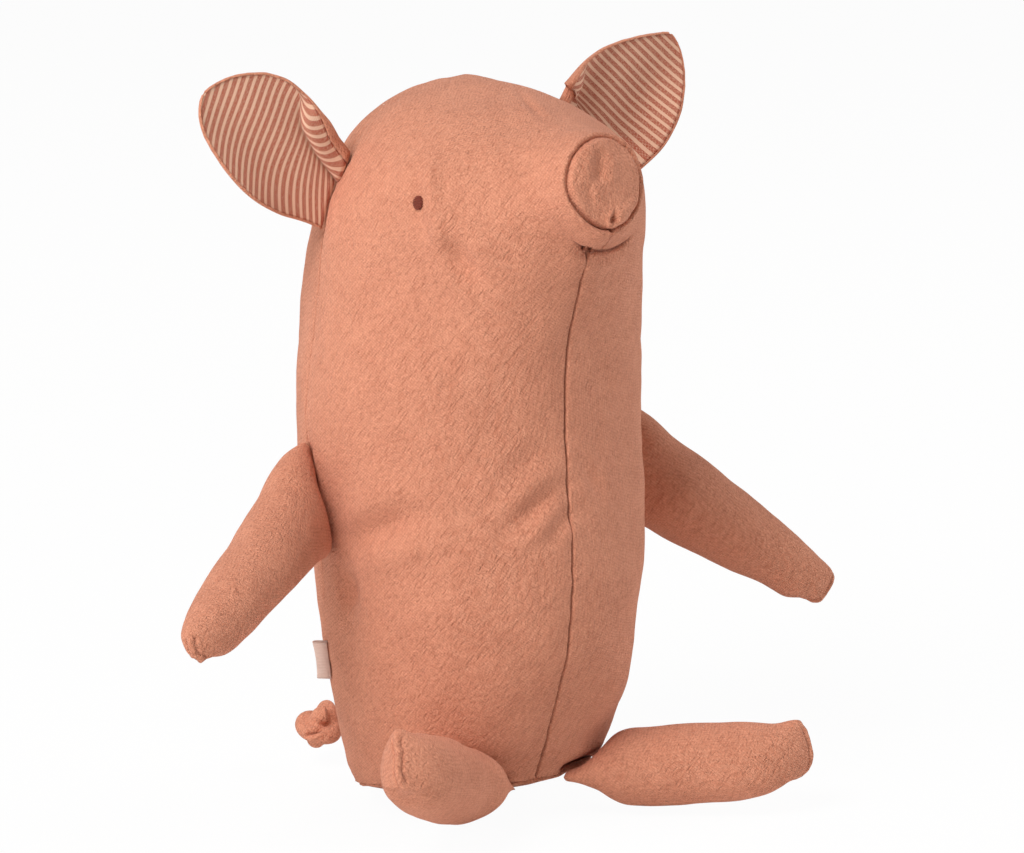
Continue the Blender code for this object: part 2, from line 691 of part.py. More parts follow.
def build_tab(surface, collection, ribbon):
    """A loop of ribbon: out from the seam, round a small bend and back."""
    seat, _ = on_surface(surface, UP * TAB_HEIGHT + BACKWARD * SIDE_SEAM_BACK, RIGHT)
    below, _ = on_surface(surface, UP * (TAB_HEIGHT - TAB_WIDTH / 2) + BACKWARD * SIDE_SEAM_BACK, RIGHT)
    above, _ = on_surface(surface, UP * (TAB_HEIGHT + TAB_WIDTH / 2) + BACKWARD * SIDE_SEAM_BACK, RIGHT)
    seam_line = (above - below).normalized()
    heading = RIGHT * math.cos(TAB_SWEEP) + BACKWARD * math.sin(TAB_SWEEP)
    heading = (heading - seam_line * heading.dot(seam_line)).normalized()
    across = heading.cross(seam_line).normalized()
    outside = TAB_LOOP_RADIUS + TAB_THICKNESS
    root = seat + RIGHT * (outside + FIT_GAP)
    bend_start = TAB_LENGTH - outside
    profile = [across * TAB_LOOP_RADIUS]
    for step in range(TAB_BEND_STEPS + 1):
        turn = math.pi * (0.5 - step / TAB_BEND_STEPS)
        bend = heading * math.cos(turn) + across * math.sin(turn)
        profile.append(heading * bend_start + bend * TAB_LOOP_RADIUS)
    profile.append(-across * TAB_LOOP_RADIUS)
    rows = [[root + seam_line * (half * TAB_WIDTH / 2) + place for place in profile] for half in (-1, 1)]
    hinge = new_hinge("side_tab_hinge", root, seam_line, collection)
    bm = lay_cloth(rows)
    outer_face = bm.faces[:][0]
    if outer_face.normal.dot(across) < 0:
        bmesh.ops.reverse_faces(bm, faces=bm.faces)
    thicken(new_object("side_tab", bm, collection, ribbon, hinge), TAB_THICKNESS, side=1)


def main():
    clear_scene()
    pig = new_collection("plush_pig")
    cutters = new_collection("cutters")
    linen = new_material("linen", LINEN, CLOTH_ROUGHNESS)
    lining = new_material("striped_lining", LINING, CLOTH_ROUGHNESS)
    filling = new_material("fibre_filling", FILLING, FIBRE_ROUGHNESS)
    thread = new_material("thread", THREAD, THREAD_ROUGHNESS)
    ribbon = new_material("ribbon", RIBBON, RIBBON_ROUGHNESS)

    surface_form = body_form()
    surface = BVHTree.FromBMesh(surface_form)
    surface_form.free()
    base_panel = build_covers(pig, linen)
    cut_flat(base_panel, cutters)
    build_filling(pig, filling)
    build_eyes(surface, pig, thread)
    build_arms(surface, pig, linen, filling)
    build_legs(pig, linen, filling)
    build_ears(surface, pig, linen, lining)
    build_tail(surface, pig, linen)
    build_tab(surface, pig, ribbon)


main()
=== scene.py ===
# %% [markdown]
# # A stuffed cloth pig, dressed
#
# The frame holds a seated cloth pig as plain solids: covers, fillings, ears, a knotted tail and a ribbon tab.
# This notebook gives each of them its real look: slubby pink linen over soft stuffing, sewn seams, striped ear
# linings, satin-stitched eyes. Every piece is built at its true size, where the frame's solids are.

# %% Load the frame
import json
import math
from contextlib import contextmanager

import bmesh
import bpy
import numpy as np
from mathutils import Matrix, Vector, noise
from mathutils.bvhtree import BVHTree
from mathutils.geometry import interpolate_bezier

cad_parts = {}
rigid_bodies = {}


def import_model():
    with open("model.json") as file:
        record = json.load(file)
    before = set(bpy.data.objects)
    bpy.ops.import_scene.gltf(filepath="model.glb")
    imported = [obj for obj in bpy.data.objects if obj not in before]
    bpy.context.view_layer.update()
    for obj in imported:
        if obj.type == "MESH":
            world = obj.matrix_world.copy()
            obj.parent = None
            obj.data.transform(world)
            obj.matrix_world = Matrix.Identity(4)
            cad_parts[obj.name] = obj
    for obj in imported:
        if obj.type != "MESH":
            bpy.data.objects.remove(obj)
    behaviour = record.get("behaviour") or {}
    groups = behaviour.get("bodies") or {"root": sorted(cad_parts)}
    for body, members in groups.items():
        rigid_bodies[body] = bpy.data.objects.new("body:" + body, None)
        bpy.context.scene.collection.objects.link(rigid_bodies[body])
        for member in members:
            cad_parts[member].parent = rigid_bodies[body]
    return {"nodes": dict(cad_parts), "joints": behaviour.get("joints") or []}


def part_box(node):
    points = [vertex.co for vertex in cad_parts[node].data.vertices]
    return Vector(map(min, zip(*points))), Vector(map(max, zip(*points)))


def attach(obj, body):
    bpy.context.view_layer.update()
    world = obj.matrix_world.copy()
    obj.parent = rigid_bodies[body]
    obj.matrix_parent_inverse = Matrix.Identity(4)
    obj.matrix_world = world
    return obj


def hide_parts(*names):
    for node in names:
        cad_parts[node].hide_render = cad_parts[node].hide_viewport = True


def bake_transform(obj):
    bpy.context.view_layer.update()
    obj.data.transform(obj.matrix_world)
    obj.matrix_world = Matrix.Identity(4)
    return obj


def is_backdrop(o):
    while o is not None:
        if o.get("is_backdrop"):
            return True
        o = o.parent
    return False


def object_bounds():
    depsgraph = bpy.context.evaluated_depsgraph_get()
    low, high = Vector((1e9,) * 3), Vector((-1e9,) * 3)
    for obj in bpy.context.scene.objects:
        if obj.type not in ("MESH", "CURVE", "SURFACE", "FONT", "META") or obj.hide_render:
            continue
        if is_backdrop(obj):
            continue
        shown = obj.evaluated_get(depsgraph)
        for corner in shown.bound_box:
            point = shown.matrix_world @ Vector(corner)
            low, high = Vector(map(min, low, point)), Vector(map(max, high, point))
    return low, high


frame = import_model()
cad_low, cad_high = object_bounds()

MM = 0.001
UP, LEFT, BACKWARD = Vector((0, 0, 1)), Vector((1, 0, 0)), Vector((0, 1, 0))
RIGHT, FORWARD = -LEFT, -BACKWARD
nodes = frame["nodes"]
joints = {joint["name"]: joint for joint in frame["joints"]}


def joint_line(name):
    """Where a joint is, and the direction of its axis."""
    return Vector(joints[name]["pos_m"]), Vector(joints[name]["axis"]).normalized()


print(f"frame: {len(nodes)} nodes, {len(joints)} joints, box {cad_low[:]} to {cad_high[:]}")

# %% [markdown]
# ## Camera
#
# The pig was seen from its right front, a little from above. The camera looks past the middle of the body from
# 1.6 m away, and a small lens shift places the pig in the frame as it was seen. It comes first, because some
# creases are later placed by the line of sight through a point of that view.

# %% Camera
VIEW_WIDTH, VIEW_HEIGHT = 1024, 853
AZIMUTH, ELEVATION = math.radians(-33.5), math.radians(12)
CAMERA_DISTANCE = 1.6
CAMERA_TARGET = Vector((0, 0, 0.12))
PIXELS_PER_METRE = 2950
SENSOR_WIDTH = 36
LENS_SHIFT = (0.0410, 0.0269)

camera_data = bpy.data.cameras.new("camera")
camera = bpy.data.objects.new("camera", camera_data)
bpy.context.scene.collection.objects.link(camera)
bpy.context.scene.camera = camera
level = math.cos(ELEVATION)
sight = Vector((math.sin(AZIMUTH) * level, -math.cos(AZIMUTH) * level, math.sin(ELEVATION)))
camera.location = CAMERA_TARGET + sight * CAMERA_DISTANCE
camera.rotation_euler = (-sight).to_track_quat("-Z", "Y").to_euler()
camera_data.sensor_fit = "HORIZONTAL"
camera_data.sensor_width = SENSOR_WIDTH
camera_data.lens = PIXELS_PER_METRE * CAMERA_DISTANCE * SENSOR_WIDTH / VIEW_WIDTH
camera_data.shift_x, camera_data.shift_y = LENS_SHIFT
camera_data.clip_end = 10


def sight_line(pixel):
    """Where the line of sight through a pixel starts, and its direction."""
    turn = (-sight).to_track_quat("-Z", "Y").to_matrix()
    right, upward = turn.col[0], turn.col[1]
    across = (pixel[0] / VIEW_WIDTH - 0.5 + LENS_SHIFT[0]) * VIEW_WIDTH
    rise = (0.5 - pixel[1] / VIEW_HEIGHT) * VIEW_HEIGHT + LENS_SHIFT[1] * VIEW_WIDTH
    scale = PIXELS_PER_METRE * CAMERA_DISTANCE
    return camera.location.copy(), (-sight + right * across / scale + upward * rise / scale).normalized()


print(f"camera: lens {camera_data.lens:.1f} mm at {camera.location[:]}")

# %% [markdown]
# ## Light
#
# The cloth is matt, so its form shows only through soft shading. A large lamp at the upper left and in front gives
# the key light and a low one at the left lights the sides that face it. A weaker one catches the right edge, and
# one from behind keeps the outline clear.

# %% Light
LAMPS = (
    ("key", Vector((-1.32, -0.46, 1.60)), 0.9, 31.5),
    ("side", Vector((-1.60, -0.25, 0.40)), 0.9, 7.0),
    ("fill", Vector((1.55, -0.35, 0.85)), 0.8, 12.5),
    ("back", Vector((0.3, 1.3, 1.1)), 1.0, 2.5),
)

for name, place, size, power in LAMPS:
    data = bpy.data.lights.new(name, "AREA")
    data.size = size
    data.energy = power
    lamp = bpy.data.objects.new(name, data)
    lamp.location = place
    lamp.rotation_euler = (CAMERA_TARGET - place).to_track_quat("-Z", "Y").to_euler()
    bpy.context.scene.collection.objects.link(lamp)
bpy.context.scene.view_settings.view_transform = "Standard"
print(f"{len(LAMPS)} lamps")

# %% [markdown]
# ## Shader maths
#
# A weave is arithmetic on coordinates. Written as separate nodes it is hard to read, so one small class wraps a
# socket and turns Python's operators into Math nodes.


# %% Shader maths
class Value:
    """A socket that can be added, multiplied and compared like a number."""

    def __init__(self, tree, socket):
        self.tree, self.socket = tree, socket

    def maths(self, operation, *others):
        return node(self.tree, "ShaderNodeMath", {"operation": operation}, self, *others)

    def __add__(self, other):
        return self.maths("ADD", other)

    def __sub__(self, other):
        return self.maths("SUBTRACT", other)

    def __rsub__(self, other):
        return (self * -1) + other

    def __mul__(self, other):
        return self.maths("MULTIPLY", other)

    def __truediv__(self, other):
        return self.maths("DIVIDE", other)

    def wave(self):
        """0 to 1 and back as a sine, once for each whole number."""
        return (self * math.tau).maths("SINE") * 0.5 + 0.5

    def zigzag(self):
        """0 to 1 and back in straight lines, once for each whole number."""
        return self.maths("PINGPONG", 0.5) * 2

    def between(self, low, high):
        """0 below low, 1 above high, and a soft step from one to the other."""
        settings = {"interpolation_type": "SMOOTHSTEP"}
        return node(self.tree, "ShaderNodeMapRange", settings, self, low, high, 0.0, 1.0)


def node(tree, kind, settings, *inputs, output=0, **named):
    """A node with its settings, then its sockets in order or by name, given as values or as links."""
    made = tree.nodes.new(kind)
    for name, value in settings.items():
        setattr(made, name, value)
    for key, value in (*enumerate(inputs), *((name.replace("_", " "), value) for name, value in named.items())):
        if isinstance(value, Value):
            tree.links.new(value.socket, made.inputs[key])
        elif value is not None:
            made.inputs[key].default_value = value
    return Value(tree, made.outputs[output])


def mixed(*shares):
    """The sum of some values, each multiplied by its share."""
    parts = [value * share for value, share in shares]
    return sum(parts[1:], parts[0])


def blend_colours(tree, factor, first, second):
    """A Mix node for colours. Its sockets 6 and 7 are the two colours, and output 2 is the result."""
    return node(tree, "ShaderNodeMix", {"data_type": "RGBA"}, factor, *[None] * 5, first, second, output=2)


def object_place(tree):
    return node(tree, "ShaderNodeTexCoord", {}, output=3)


def axes(tree, vector):
    """The three numbers of a vector."""
    split = tree.nodes.new("ShaderNodeSeparateXYZ")
    tree.links.new(vector.socket, split.inputs[0])
    return [Value(tree, socket) for socket in split.outputs]


def noise_at(tree, vector, scale, detail=2.0, roughness=0.5):
    return node(tree, "ShaderNodeTexNoise", {}, Vector=vector, Scale=scale, Detail=detail, Roughness=roughness)


def new_material(name, roughness, sheen=0.0, specular=0.3):
    """A Principled material with its constant settings, and its node tree."""
    material = bpy.data.materials.new(name)
    material.use_nodes = True
    shader = material.node_tree.nodes["Principled BSDF"]
    shader.inputs["Roughness"].default_value = roughness
    shader.inputs["Sheen Weight"].default_value = sheen
    shader.inputs["Sheen Roughness"].default_value = 0.5
    shader.inputs["Specular IOR Level"].default_value = specular
    return material, material.node_tree, shader


def set_surface(tree, shader, colour, roughness, height, depth):
    """Links the varying colour, roughness and bump height into the shader."""
    bump = node(tree, "ShaderNodeBump", {}, Strength=1.0, Distance=depth, Height=height)
    for value, socket in ((colour, "Base Color"), (roughness, "Roughness"), (bump, "Normal")):
        tree.links.new(value.socket, shader.inputs[socket])


print("shader maths ready")

# %% [markdown]
# ## Floor and world
#
# A wide plane takes the shadow. Its material is plain white to the camera and to reflections, apart from the
# shadow, so that the picture's background stays white without more light on the pig.

# %% Floor and world
FLOOR_SIZE = 12.0
FLOOR_WHITE_SHARE = 0.96
FLOOR_COLOUR = (0.93, 0.92, 0.91, 1)
WORLD_STRENGTH = 0.19
WORLD_COLOUR = (1.0, 0.93, 0.88, 1)
WHITE = (1, 1, 1, 1)


def seen_directly(tree):
    """1 for rays from the camera and for those that gloss or glass sends on."""
    path = tree.nodes.new("ShaderNodeLightPath")
    seen = Value(tree, path.outputs["Is Camera Ray"])
    seen = seen.maths("MAXIMUM", Value(tree, path.outputs["Is Glossy Ray"]))
    return seen.maths("MAXIMUM", Value(tree, path.outputs["Is Transmission Ray"]))


bpy.ops.mesh.primitive_plane_add(size=FLOOR_SIZE)
floor = bpy.context.object
floor.name = "floor"
floor_material, tree, shader = new_material("floor", 0.9)
shader.inputs["Base Color"].default_value = FLOOR_COLOUR
floor.data.materials.append(floor_material)
glow = node(tree, "ShaderNodeEmission", {}, WHITE, 1.0)
share = seen_directly(tree) * FLOOR_WHITE_SHARE
floor_mix = node(tree, "ShaderNodeMixShader", {}, share, Value(tree, shader.outputs[0]), glow)
tree.links.new(floor_mix.socket, tree.nodes["Material Output"].inputs["Surface"])
floor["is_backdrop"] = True

world = bpy.data.worlds.new("studio")
bpy.context.scene.world = world
world.use_nodes = True
tree = world.node_tree
tree.nodes.clear()
lit = node(tree, "ShaderNodeBackground", {}, WORLD_COLOUR, WORLD_STRENGTH)
white = node(tree, "ShaderNodeBackground", {}, WHITE, 1.0)
world_mix = node(tree, "ShaderNodeMixShader", {}, seen_directly(tree), lit, white)
tree.links.new(world_mix.socket, tree.nodes.new("ShaderNodeOutputWorld").inputs["Surface"])
print("floor and world ready")

# %% [markdown]
# ## Linen
#
# The cloth is a plain-woven linen in a dusty peach pink. Its threads are about 0.8 mm apart and uneven, with short
# thick slubs, and the dye has taken unevenly. The panels are cut on the bias, so the slubs run slantwise. Weave and
# slubs are laid on with object coordinates, turned to the bias, so they need no unwrapping and don't stretch. Deep in
# a seam or crease little light arrives, so a painted shade darkens the cloth where the seam or crease was marked.

# %% Linen
THREADS_PER_METRE = 1250
LINEN_PINK = (0.79, 0.335, 0.208, 1)
LINEN_DARK = (0.44, 0.135, 0.072, 1)
LINEN_PALE = (0.92, 0.49, 0.335, 1)
# Painted shade: the colour that the cloth is darkened to deep in seams and creases.
LINEN_PAINTED_SHADE = (0.20, 0.055, 0.03, 1)
LINEN_RELIEF = 0.00038
# The attribute that marks where painted shade darkens seams and creases.
PAINTED_SEAM_SHADE = "painted_seam_shade"
BIAS = Vector((0.478, -0.317, 0.82)).normalized()
CROSS_BIAS = Vector((-0.60, 0.40, 0.69)).normalized()
# Short slubs, long ones and thick cross threads: their direction, how far they are drawn out, their scale, and the
# noise values at which they start and are full.
SLUBS = ((BIAS, 4.5, 1100.0, 0.46, 0.70), (BIAS, 7.0, 560.0, 0.56, 0.74), (CROSS_BIAS, 3.5, 1000.0, 0.50, 0.74))


def along_bias(tree, direction, stretch):
    """Object coordinates whose third axis runs along a direction, and is drawn out along it."""
    turn = direction.to_track_quat("Z", "Y").to_euler()
    settings = {"vector_type": "TEXTURE"}
    return node(tree, "ShaderNodeMapping", settings, Vector=object_place(tree), Rotation=turn, Scale=(1, 1, stretch))


def linen_weave(tree):
    """A bump where two threads cross, seen along each axis in turn and weighted by the way the surface faces."""
    place = along_bias(tree, BIAS, 1.0)
    bend = noise_at(tree, place, 90.0) * 3.0
    facing = axes(tree, node(tree, "ShaderNodeTexCoord", {}, output=1))
    weights = [axis.maths("ABSOLUTE").maths("POWER", 4.0) for axis in facing]
    total = weights[0] + weights[1] + weights[2]
    x, y, z = ((axis * THREADS_PER_METRE + bend).zigzag() for axis in axes(tree, place))
    crossings = ((y * z).maths("SQRT"), (x * z).maths("SQRT"), (x * y).maths("SQRT"))
    return mixed(*((crossing, weight / total) for crossing, weight in zip(crossings, weights)))


def build_linen():
    material, tree, shader = new_material("linen", 0.92, sheen=0.08, specular=0.15)
    weave = linen_weave(tree)
    slub, long_slub, weft = (
        noise_at(tree, along_bias(tree, way, stretch), scale, roughness=0.6).between(low, high)
        for way, stretch, scale, low, high in SLUBS
    )
    grain = noise_at(tree, object_place(tree), 1300.0, 2.0, 0.75).between(0.3, 0.7)
    mottle = noise_at(tree, object_place(tree), 75.0, 4.0, 0.65).between(0.3, 0.7)
    gaps = (1 - weave).between(0.45, 0.85)
    dark = mixed((slub, 0.22), (long_slub, 0.15), (weft, 0.12), (grain, 0.22), (gaps, 0.13), (mottle, 0.16))
    colour = blend_colours(tree, dark.maths("MINIMUM", 1.0), LINEN_PINK, LINEN_DARK)
    colour = blend_colours(tree, (1 - grain) * weave * 0.34, colour, LINEN_PALE)
    # Painted shade: the cloth is darkened where a seam or crease was marked.
    seam = node(tree, "ShaderNodeAttribute", {"attribute_name": PAINTED_SEAM_SHADE}, output=2)
    colour = blend_colours(tree, seam * 0.85, colour, LINEN_PAINTED_SHADE)
    height = mixed((weave, 0.4), (grain, 0.55), (slub, -0.5), (long_slub, -0.4), (weft, -0.35), (mottle, 0.8))
    set_surface(tree, shader, colour, 0.96 - weave * 0.08, height, LINEN_RELIEF)
    return material


linen = build_linen()
print(f"linen: {THREADS_PER_METRE} threads to the metre")

# %% [markdown]
# ## Helpers for cloth forms
#
# The frame's solids give each soft piece its place and size. A copy of one is merged, smoothed, inflated by a
# short cloth simulation, and then its seams and creases are worked in one by one: seams are cut in as lines of
# points, and creases are pressed in along paths. These helpers do each of those steps once.

# %% Helpers for cloth forms
WELD = 0.02 * MM
INFLATE_FRAMES = 20
PRESSURE = 500.0
CLOTH_MASS = 0.3


def node_copy(*names):
    """CAD nodes in one bmesh, with their loose triangles merged and paired into quads."""
    bm = bmesh.new()
    for name in names:
        bm.from_mesh(nodes[name].data)
    bmesh.ops.remove_doubles(bm, verts=bm.verts, dist=WELD)
    bmesh.ops.join_triangles(
        bm, faces=bm.faces, angle_face_threshold=math.radians(40), angle_shape_threshold=math.radians(60)
    )
    return bm


def new_piece(name, bm, material):
    mesh = bpy.data.meshes.new(name)
    bm.to_mesh(mesh)
    bm.free()
    mesh.materials.clear()
    mesh.materials.append(material)
    mesh.shade_smooth()
    piece = bpy.data.objects.new(name, mesh)
    bpy.context.scene.collection.objects.link(piece)
    return piece


@contextmanager
def edited(piece):
    """The piece's mesh as a bmesh, which is put back afterwards."""
    bm = bmesh.new()
    bm.from_mesh(piece.data)
    yield bm
    bm.to_mesh(piece.data)
    bm.free()
    piece.data.update()
    piece.data.shade_smooth()


def apply_modifiers(piece):
    """Puts what the modifiers make into the mesh and removes them."""
    graph = bpy.context.evaluated_depsgraph_get()
    graph.update()
    mesh = bpy.data.meshes.new_from_object(piece.evaluated_get(graph))
    piece.modifiers.clear()
    old = piece.data
    piece.data = mesh
    bpy.data.meshes.remove(old)
    mesh.shade_smooth()


def remesh(piece, voxel):
    modifier = piece.modifiers.new("remesh", "REMESH")
    modifier.mode = "VOXEL"
    modifier.voxel_size = voxel
    apply_modifiers(piece)


def subdivide(piece, levels):
    modifier = piece.modifiers.new("subdivide", "SUBSURF")
    modifier.levels = modifier.render_levels = levels
    apply_modifiers(piece)


def vectors_of(mesh, attribute):
    values = np.empty(len(mesh.vertices) * 3)
    mesh.vertices.foreach_get(attribute, values)
    return values.reshape(-1, 3)


def places_of(piece):
    return vectors_of(piece.data, "co")


def set_places(piece, places):
    piece.data.vertices.foreach_set("co", places.astype(np.float32).ravel())
    piece.data.update()


def push_out(piece, amounts, chosen=slice(None)):
    """Moves the chosen points along their normals."""
    places, normals = places_of(piece), vectors_of(piece.data, "normal")
    places[chosen] += normals[chosen] * np.reshape(amounts, (-1, 1))
    set_places(piece, places)


def smooth(piece, rounds):
    with edited(piece) as bm:
        for _ in range(rounds):
            bmesh.ops.smooth_vert(bm, verts=bm.verts, factor=0.5, use_axis_x=True, use_axis_y=True, use_axis_z=True)


def inflate(piece, cap, held=()):
    """Swells a closed piece like stuffing, as cloth under pressure, and caps how far a point may move."""
    rest = places_of(piece)
    settings = piece.modifiers.new("cloth", "CLOTH").settings
    settings.quality = 5
    settings.mass = CLOTH_MASS
    settings.use_pressure = True
    settings.uniform_pressure_force = PRESSURE
    settings.effector_weights.gravity = 0
    if len(held):
        piece.vertex_groups.new(name="held").add([int(index) for index in held], 1.0, "REPLACE")
        settings.vertex_group_mass = "held"
    scene = bpy.context.scene
    for step in range(1, INFLATE_FRAMES + 1):
        scene.frame_set(step)
    apply_modifiers(piece)
    scene.frame_set(1)
    moved = places_of(piece) - rest
    distance = np.linalg.norm(moved, axis=1, keepdims=True)
    set_places(piece, rest + moved * np.minimum(1, cap / np.maximum(distance, 1e-9)))
    piece.vertex_groups.clear()
    print(f"{piece.name}: inflated by {distance.mean() / MM:.1f} mm, at most {distance.max() / MM:.1f} mm")


def soft_step(share):
    """From 0 to 1 with soft ends."""
    share = np.clip(share, 0, 1)
    return share * share * (3 - 2 * share)


def bell(distance):
    """1 in the middle and nearly 0 beyond 2."""
    return np.exp(-(distance**2))


print("helpers ready")

# %% [markdown]
# ## Seams and creases
#
# A seam is a thin line where the cloth dives in, with soft shoulders on both sides and small puckers across it.
# A crease is the same without puckers. Both are drawn as a path of points, and every vertex moves along its own
# normal by how near it is to the path.

# %% Seams and creases
RIDGE, RIDGE_WIDTH = 0.5 * MM, 0.9 * MM
STITCH_LINE, STITCH_DEPTH, STITCH_WIDTH = 1.7 * MM, 0.5 * MM, 0.6 * MM
RIDGE_PUCKER, RIDGE_PUCKER_REACH = 0.12 * MM, 6 * MM
RIPPLE_STEP, RIPPLE_SPREAD = 2.4 * MM, 9 * MM
RIDGE_FADE = 0.12


def smoothed_path(points, steps=6):
    """A denser path that runs smoothly through the points."""
    points = [Vector(point) for point in points]
    path = []
    for index in range(len(points) - 1):
        before = points[max(index - 1, 0)]
        start, end = points[index], points[index + 1]
        after = points[min(index + 2, len(points) - 1)]
        path += interpolate_bezier(start, start + (end - before) / 6, end - (after - start) / 6, end, steps + 1)[:-1]
    return [*path, points[-1]]


def distance_to_path(places, path):
    """Each place's distance to the path, and how far along the path its nearest point is, from 0 to 1."""
    best = np.full(len(places), 1e9)
    along = np.zeros(len(places))
    steps = np.array(path)
    lengths = np.linalg.norm(np.diff(steps, axis=0), axis=1)
    total, run = lengths.sum(), 0.0
    for start, end, length in zip(steps[:-1], steps[1:], lengths):
        step = end - start
        share = np.clip((places - start) @ step / max(length**2, 1e-12), 0, 1)
        distance = np.linalg.norm(places - (start + share[:, None] * step), axis=1)
        nearer = distance < best
        best[nearer] = distance[nearer]
        along[nearer] = (run + share[nearer] * length) / total
        run += length
    return best, along


def mark_painted_shade(piece, chosen, near, strength, width=0.42 * MM):
    """Marks painted shade on the cloth at the bottom of a seam or crease, which the linen's colour reads."""
    layer = piece.data.attributes.get(PAINTED_SEAM_SHADE) or piece.data.attributes.new(PAINTED_SEAM_SHADE, "FLOAT", "POINT")
    shade = np.zeros(len(piece.data.vertices), np.float32)
    layer.data.foreach_get("value", shade)
    shade[chosen] = np.maximum(shade[chosen], strength * bell(near / width))
    layer.data.foreach_set("value", shade)


def press(piece, path, width, depth, shoulder, fade, shade=0.0):
    """Presses a crease along the path: depth at its line, raised a little beside it, fading at both ends. A shade above
    0 also paints shade along its line.
    """
    places, line = places_of(piece), np.array(path)
    middle = line.mean(0)
    reach = np.linalg.norm(line - middle, axis=1).max() + 4 * width
    chosen = np.flatnonzero(np.linalg.norm(places - middle, axis=1) < reach)
    distance, along = distance_to_path(places[chosen], path)
    ends = np.clip(np.minimum(along, 1 - along) / fade, 0, 1) if fade else 1
    form = depth * shoulder * bell((distance - 2.1 * width) / width) - depth * bell(distance / width)
    push_out(piece, form * ends, chosen)
    if shade:
        mark_painted_shade(piece, chosen, distance, shade * np.minimum(1, 2.5 * ends))


def sew_along(piece, path, seed):
    """A seam along a path: a raised ridge, the stitched line on both sides of it, and puckers across it."""
    distance, along = distance_to_path(places_of(piece), path)
    chosen = np.flatnonzero(distance < 3 * RIDGE_PUCKER_REACH)
    near = distance[chosen]
    length = sum((end - start).length for start, end in zip(path[:-1], path[1:]))
    steps = along[chosen] * length / RIPPLE_STEP
    ripple = np.array([noise.noise(Vector((step, far / RIPPLE_SPREAD, seed))) for step, far in zip(steps, near)])
    form = RIDGE * bell(near / RIDGE_WIDTH) - STITCH_DEPTH * bell((near - STITCH_LINE) / STITCH_WIDTH)
    form += RIDGE_PUCKER * ripple * bell(near / RIDGE_PUCKER_REACH)
    ends = np.clip(np.minimum(along[chosen], 1 - along[chosen]) / RIDGE_FADE, 0, 1)
    push_out(piece, form * ends, chosen)
    # Painted shade along the stitched lines on both sides of the ridge.
    mark_painted_shade(piece, chosen, near - STITCH_LINE, 0.35 * ends)


def dent(piece, centre, radius, depth, taller=1.0):
    """Presses a soft hollow in, or raises a soft lump where depth is negative. It may be taller than wide."""
    offset = places_of(piece) - np.array(centre)
    offset[:, 2] /= taller
    push_out(piece, -depth * bell(np.linalg.norm(offset, axis=1) / radius))


def lumps(piece, size, depth, seed):
    """Uneven stuffing: a smooth noise that lifts and lowers the cloth."""
    shift = Vector((seed, seed * 2.3, seed * 3.1))
    push_out(piece, depth * np.array([noise.noise(Vector(place) / size + shift) for place in places_of(piece)]))


def cut_loops(bm, place, normal, offsets, chosen):
    """Cuts lines of points into the mesh beside a plane, so that a seam has something to bend."""
    for offset in offsets:
        faces = [face for face in bm.faces if chosen(face.calc_center_median())]
        geom = list({part for face in faces for part in (*face.verts, *face.edges, face)})
        bmesh.ops.bisect_plane(bm, geom=geom, dist=0.05 * MM, plane_co=place + normal * offset, plane_no=normal)


def refine(piece, path, reach, rounds=1):
    """Splits the faces near a path, so that a thin line can be pressed into them."""
    low = np.array(path).min(0) - 2 * reach
    high = np.array(path).max(0) + 2 * reach
    with edited(piece) as bm:
        for _ in range(rounds):
            bm.verts.index_update()
            places = np.array([list(vert.co) for vert in bm.verts])
            near = np.full(len(places), 1.0)
            chosen = np.flatnonzero(np.all((places > low) & (places < high), axis=1))
            near[chosen] = distance_to_path(places[chosen], path)[0]
            edges = [edge for edge in bm.edges if max(near[edge.verts[0].index], near[edge.verts[1].index]) < reach]
            bmesh.ops.subdivide_edges(bm, edges=edges, cuts=1, use_grid_fill=True)
        bmesh.ops.triangulate(bm, faces=[face for face in bm.faces if len(face.verts) > 4])


def surface_of(piece):
    bm = bmesh.new()
    bm.from_mesh(piece.data)
    tree = BVHTree.FromBMesh(bm)
    bm.free()
    return tree


def seen_at(surface, *pixels):
    """The points of the surface that lie behind these pixels of the view."""
    found = []
    for pixel in pixels:
        start, direction = sight_line(pixel)
        place = surface.ray_cast(start, direction)[0]
        found.append(place or surface.find_nearest(start + direction * CAMERA_DISTANCE)[0])
    return found


print("seam tools ready")

# %% [markdown]
# ## Body
#
# Trunk and head are one bag of cloth, cut as a front panel, two back panels and a base, with a round disc at the
# snout. Separate panels would leave open edges at the seams, so the bag is one closed surface: the two fillings,
# joined, remeshed evenly and inflated. The fillings lie 1.5 mm under the cloth, and the pressure brings the
# surface back to it. The seat rests on a small round behind the middle, as stuffed cloth does.

# %% Body: joined, remeshed, inflated
BODY_VOXEL = 4 * MM
CLOTH_LAYER = 1.5 * MM
SEAT_REST_CENTRE = (0, 12 * MM)
SEAT_REST_RADIUS = 14 * MM
SEAT_SLOPE, SEAT_FRONT_SHARE = 0.30, 0.3
SEAT_FRONT_REACH, SEAT_SOFTNESS = 30 * MM, 0.8 * MM
NECK_REACH, NECK_WELD = 0.5 * MM, 0.6 * MM


def body_surface():
    """Both fillings in one closed form. The parted neck is welded shut again."""
    bm = node_copy("body_filling", "head_filling")
    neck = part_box("head_filling")[0].z
    level_faces = [face for face in bm.faces if abs(face.normal.z) > 0.99]
    caps = [face for face in level_faces if abs(face.calc_center_median().z - neck) < NECK_REACH]
    bmesh.ops.delete(bm, geom=caps, context="FACES")
    rims = [vert for vert in bm.verts if vert.is_boundary]
    bmesh.ops.remove_doubles(bm, verts=rims, dist=NECK_WELD)
    return bm


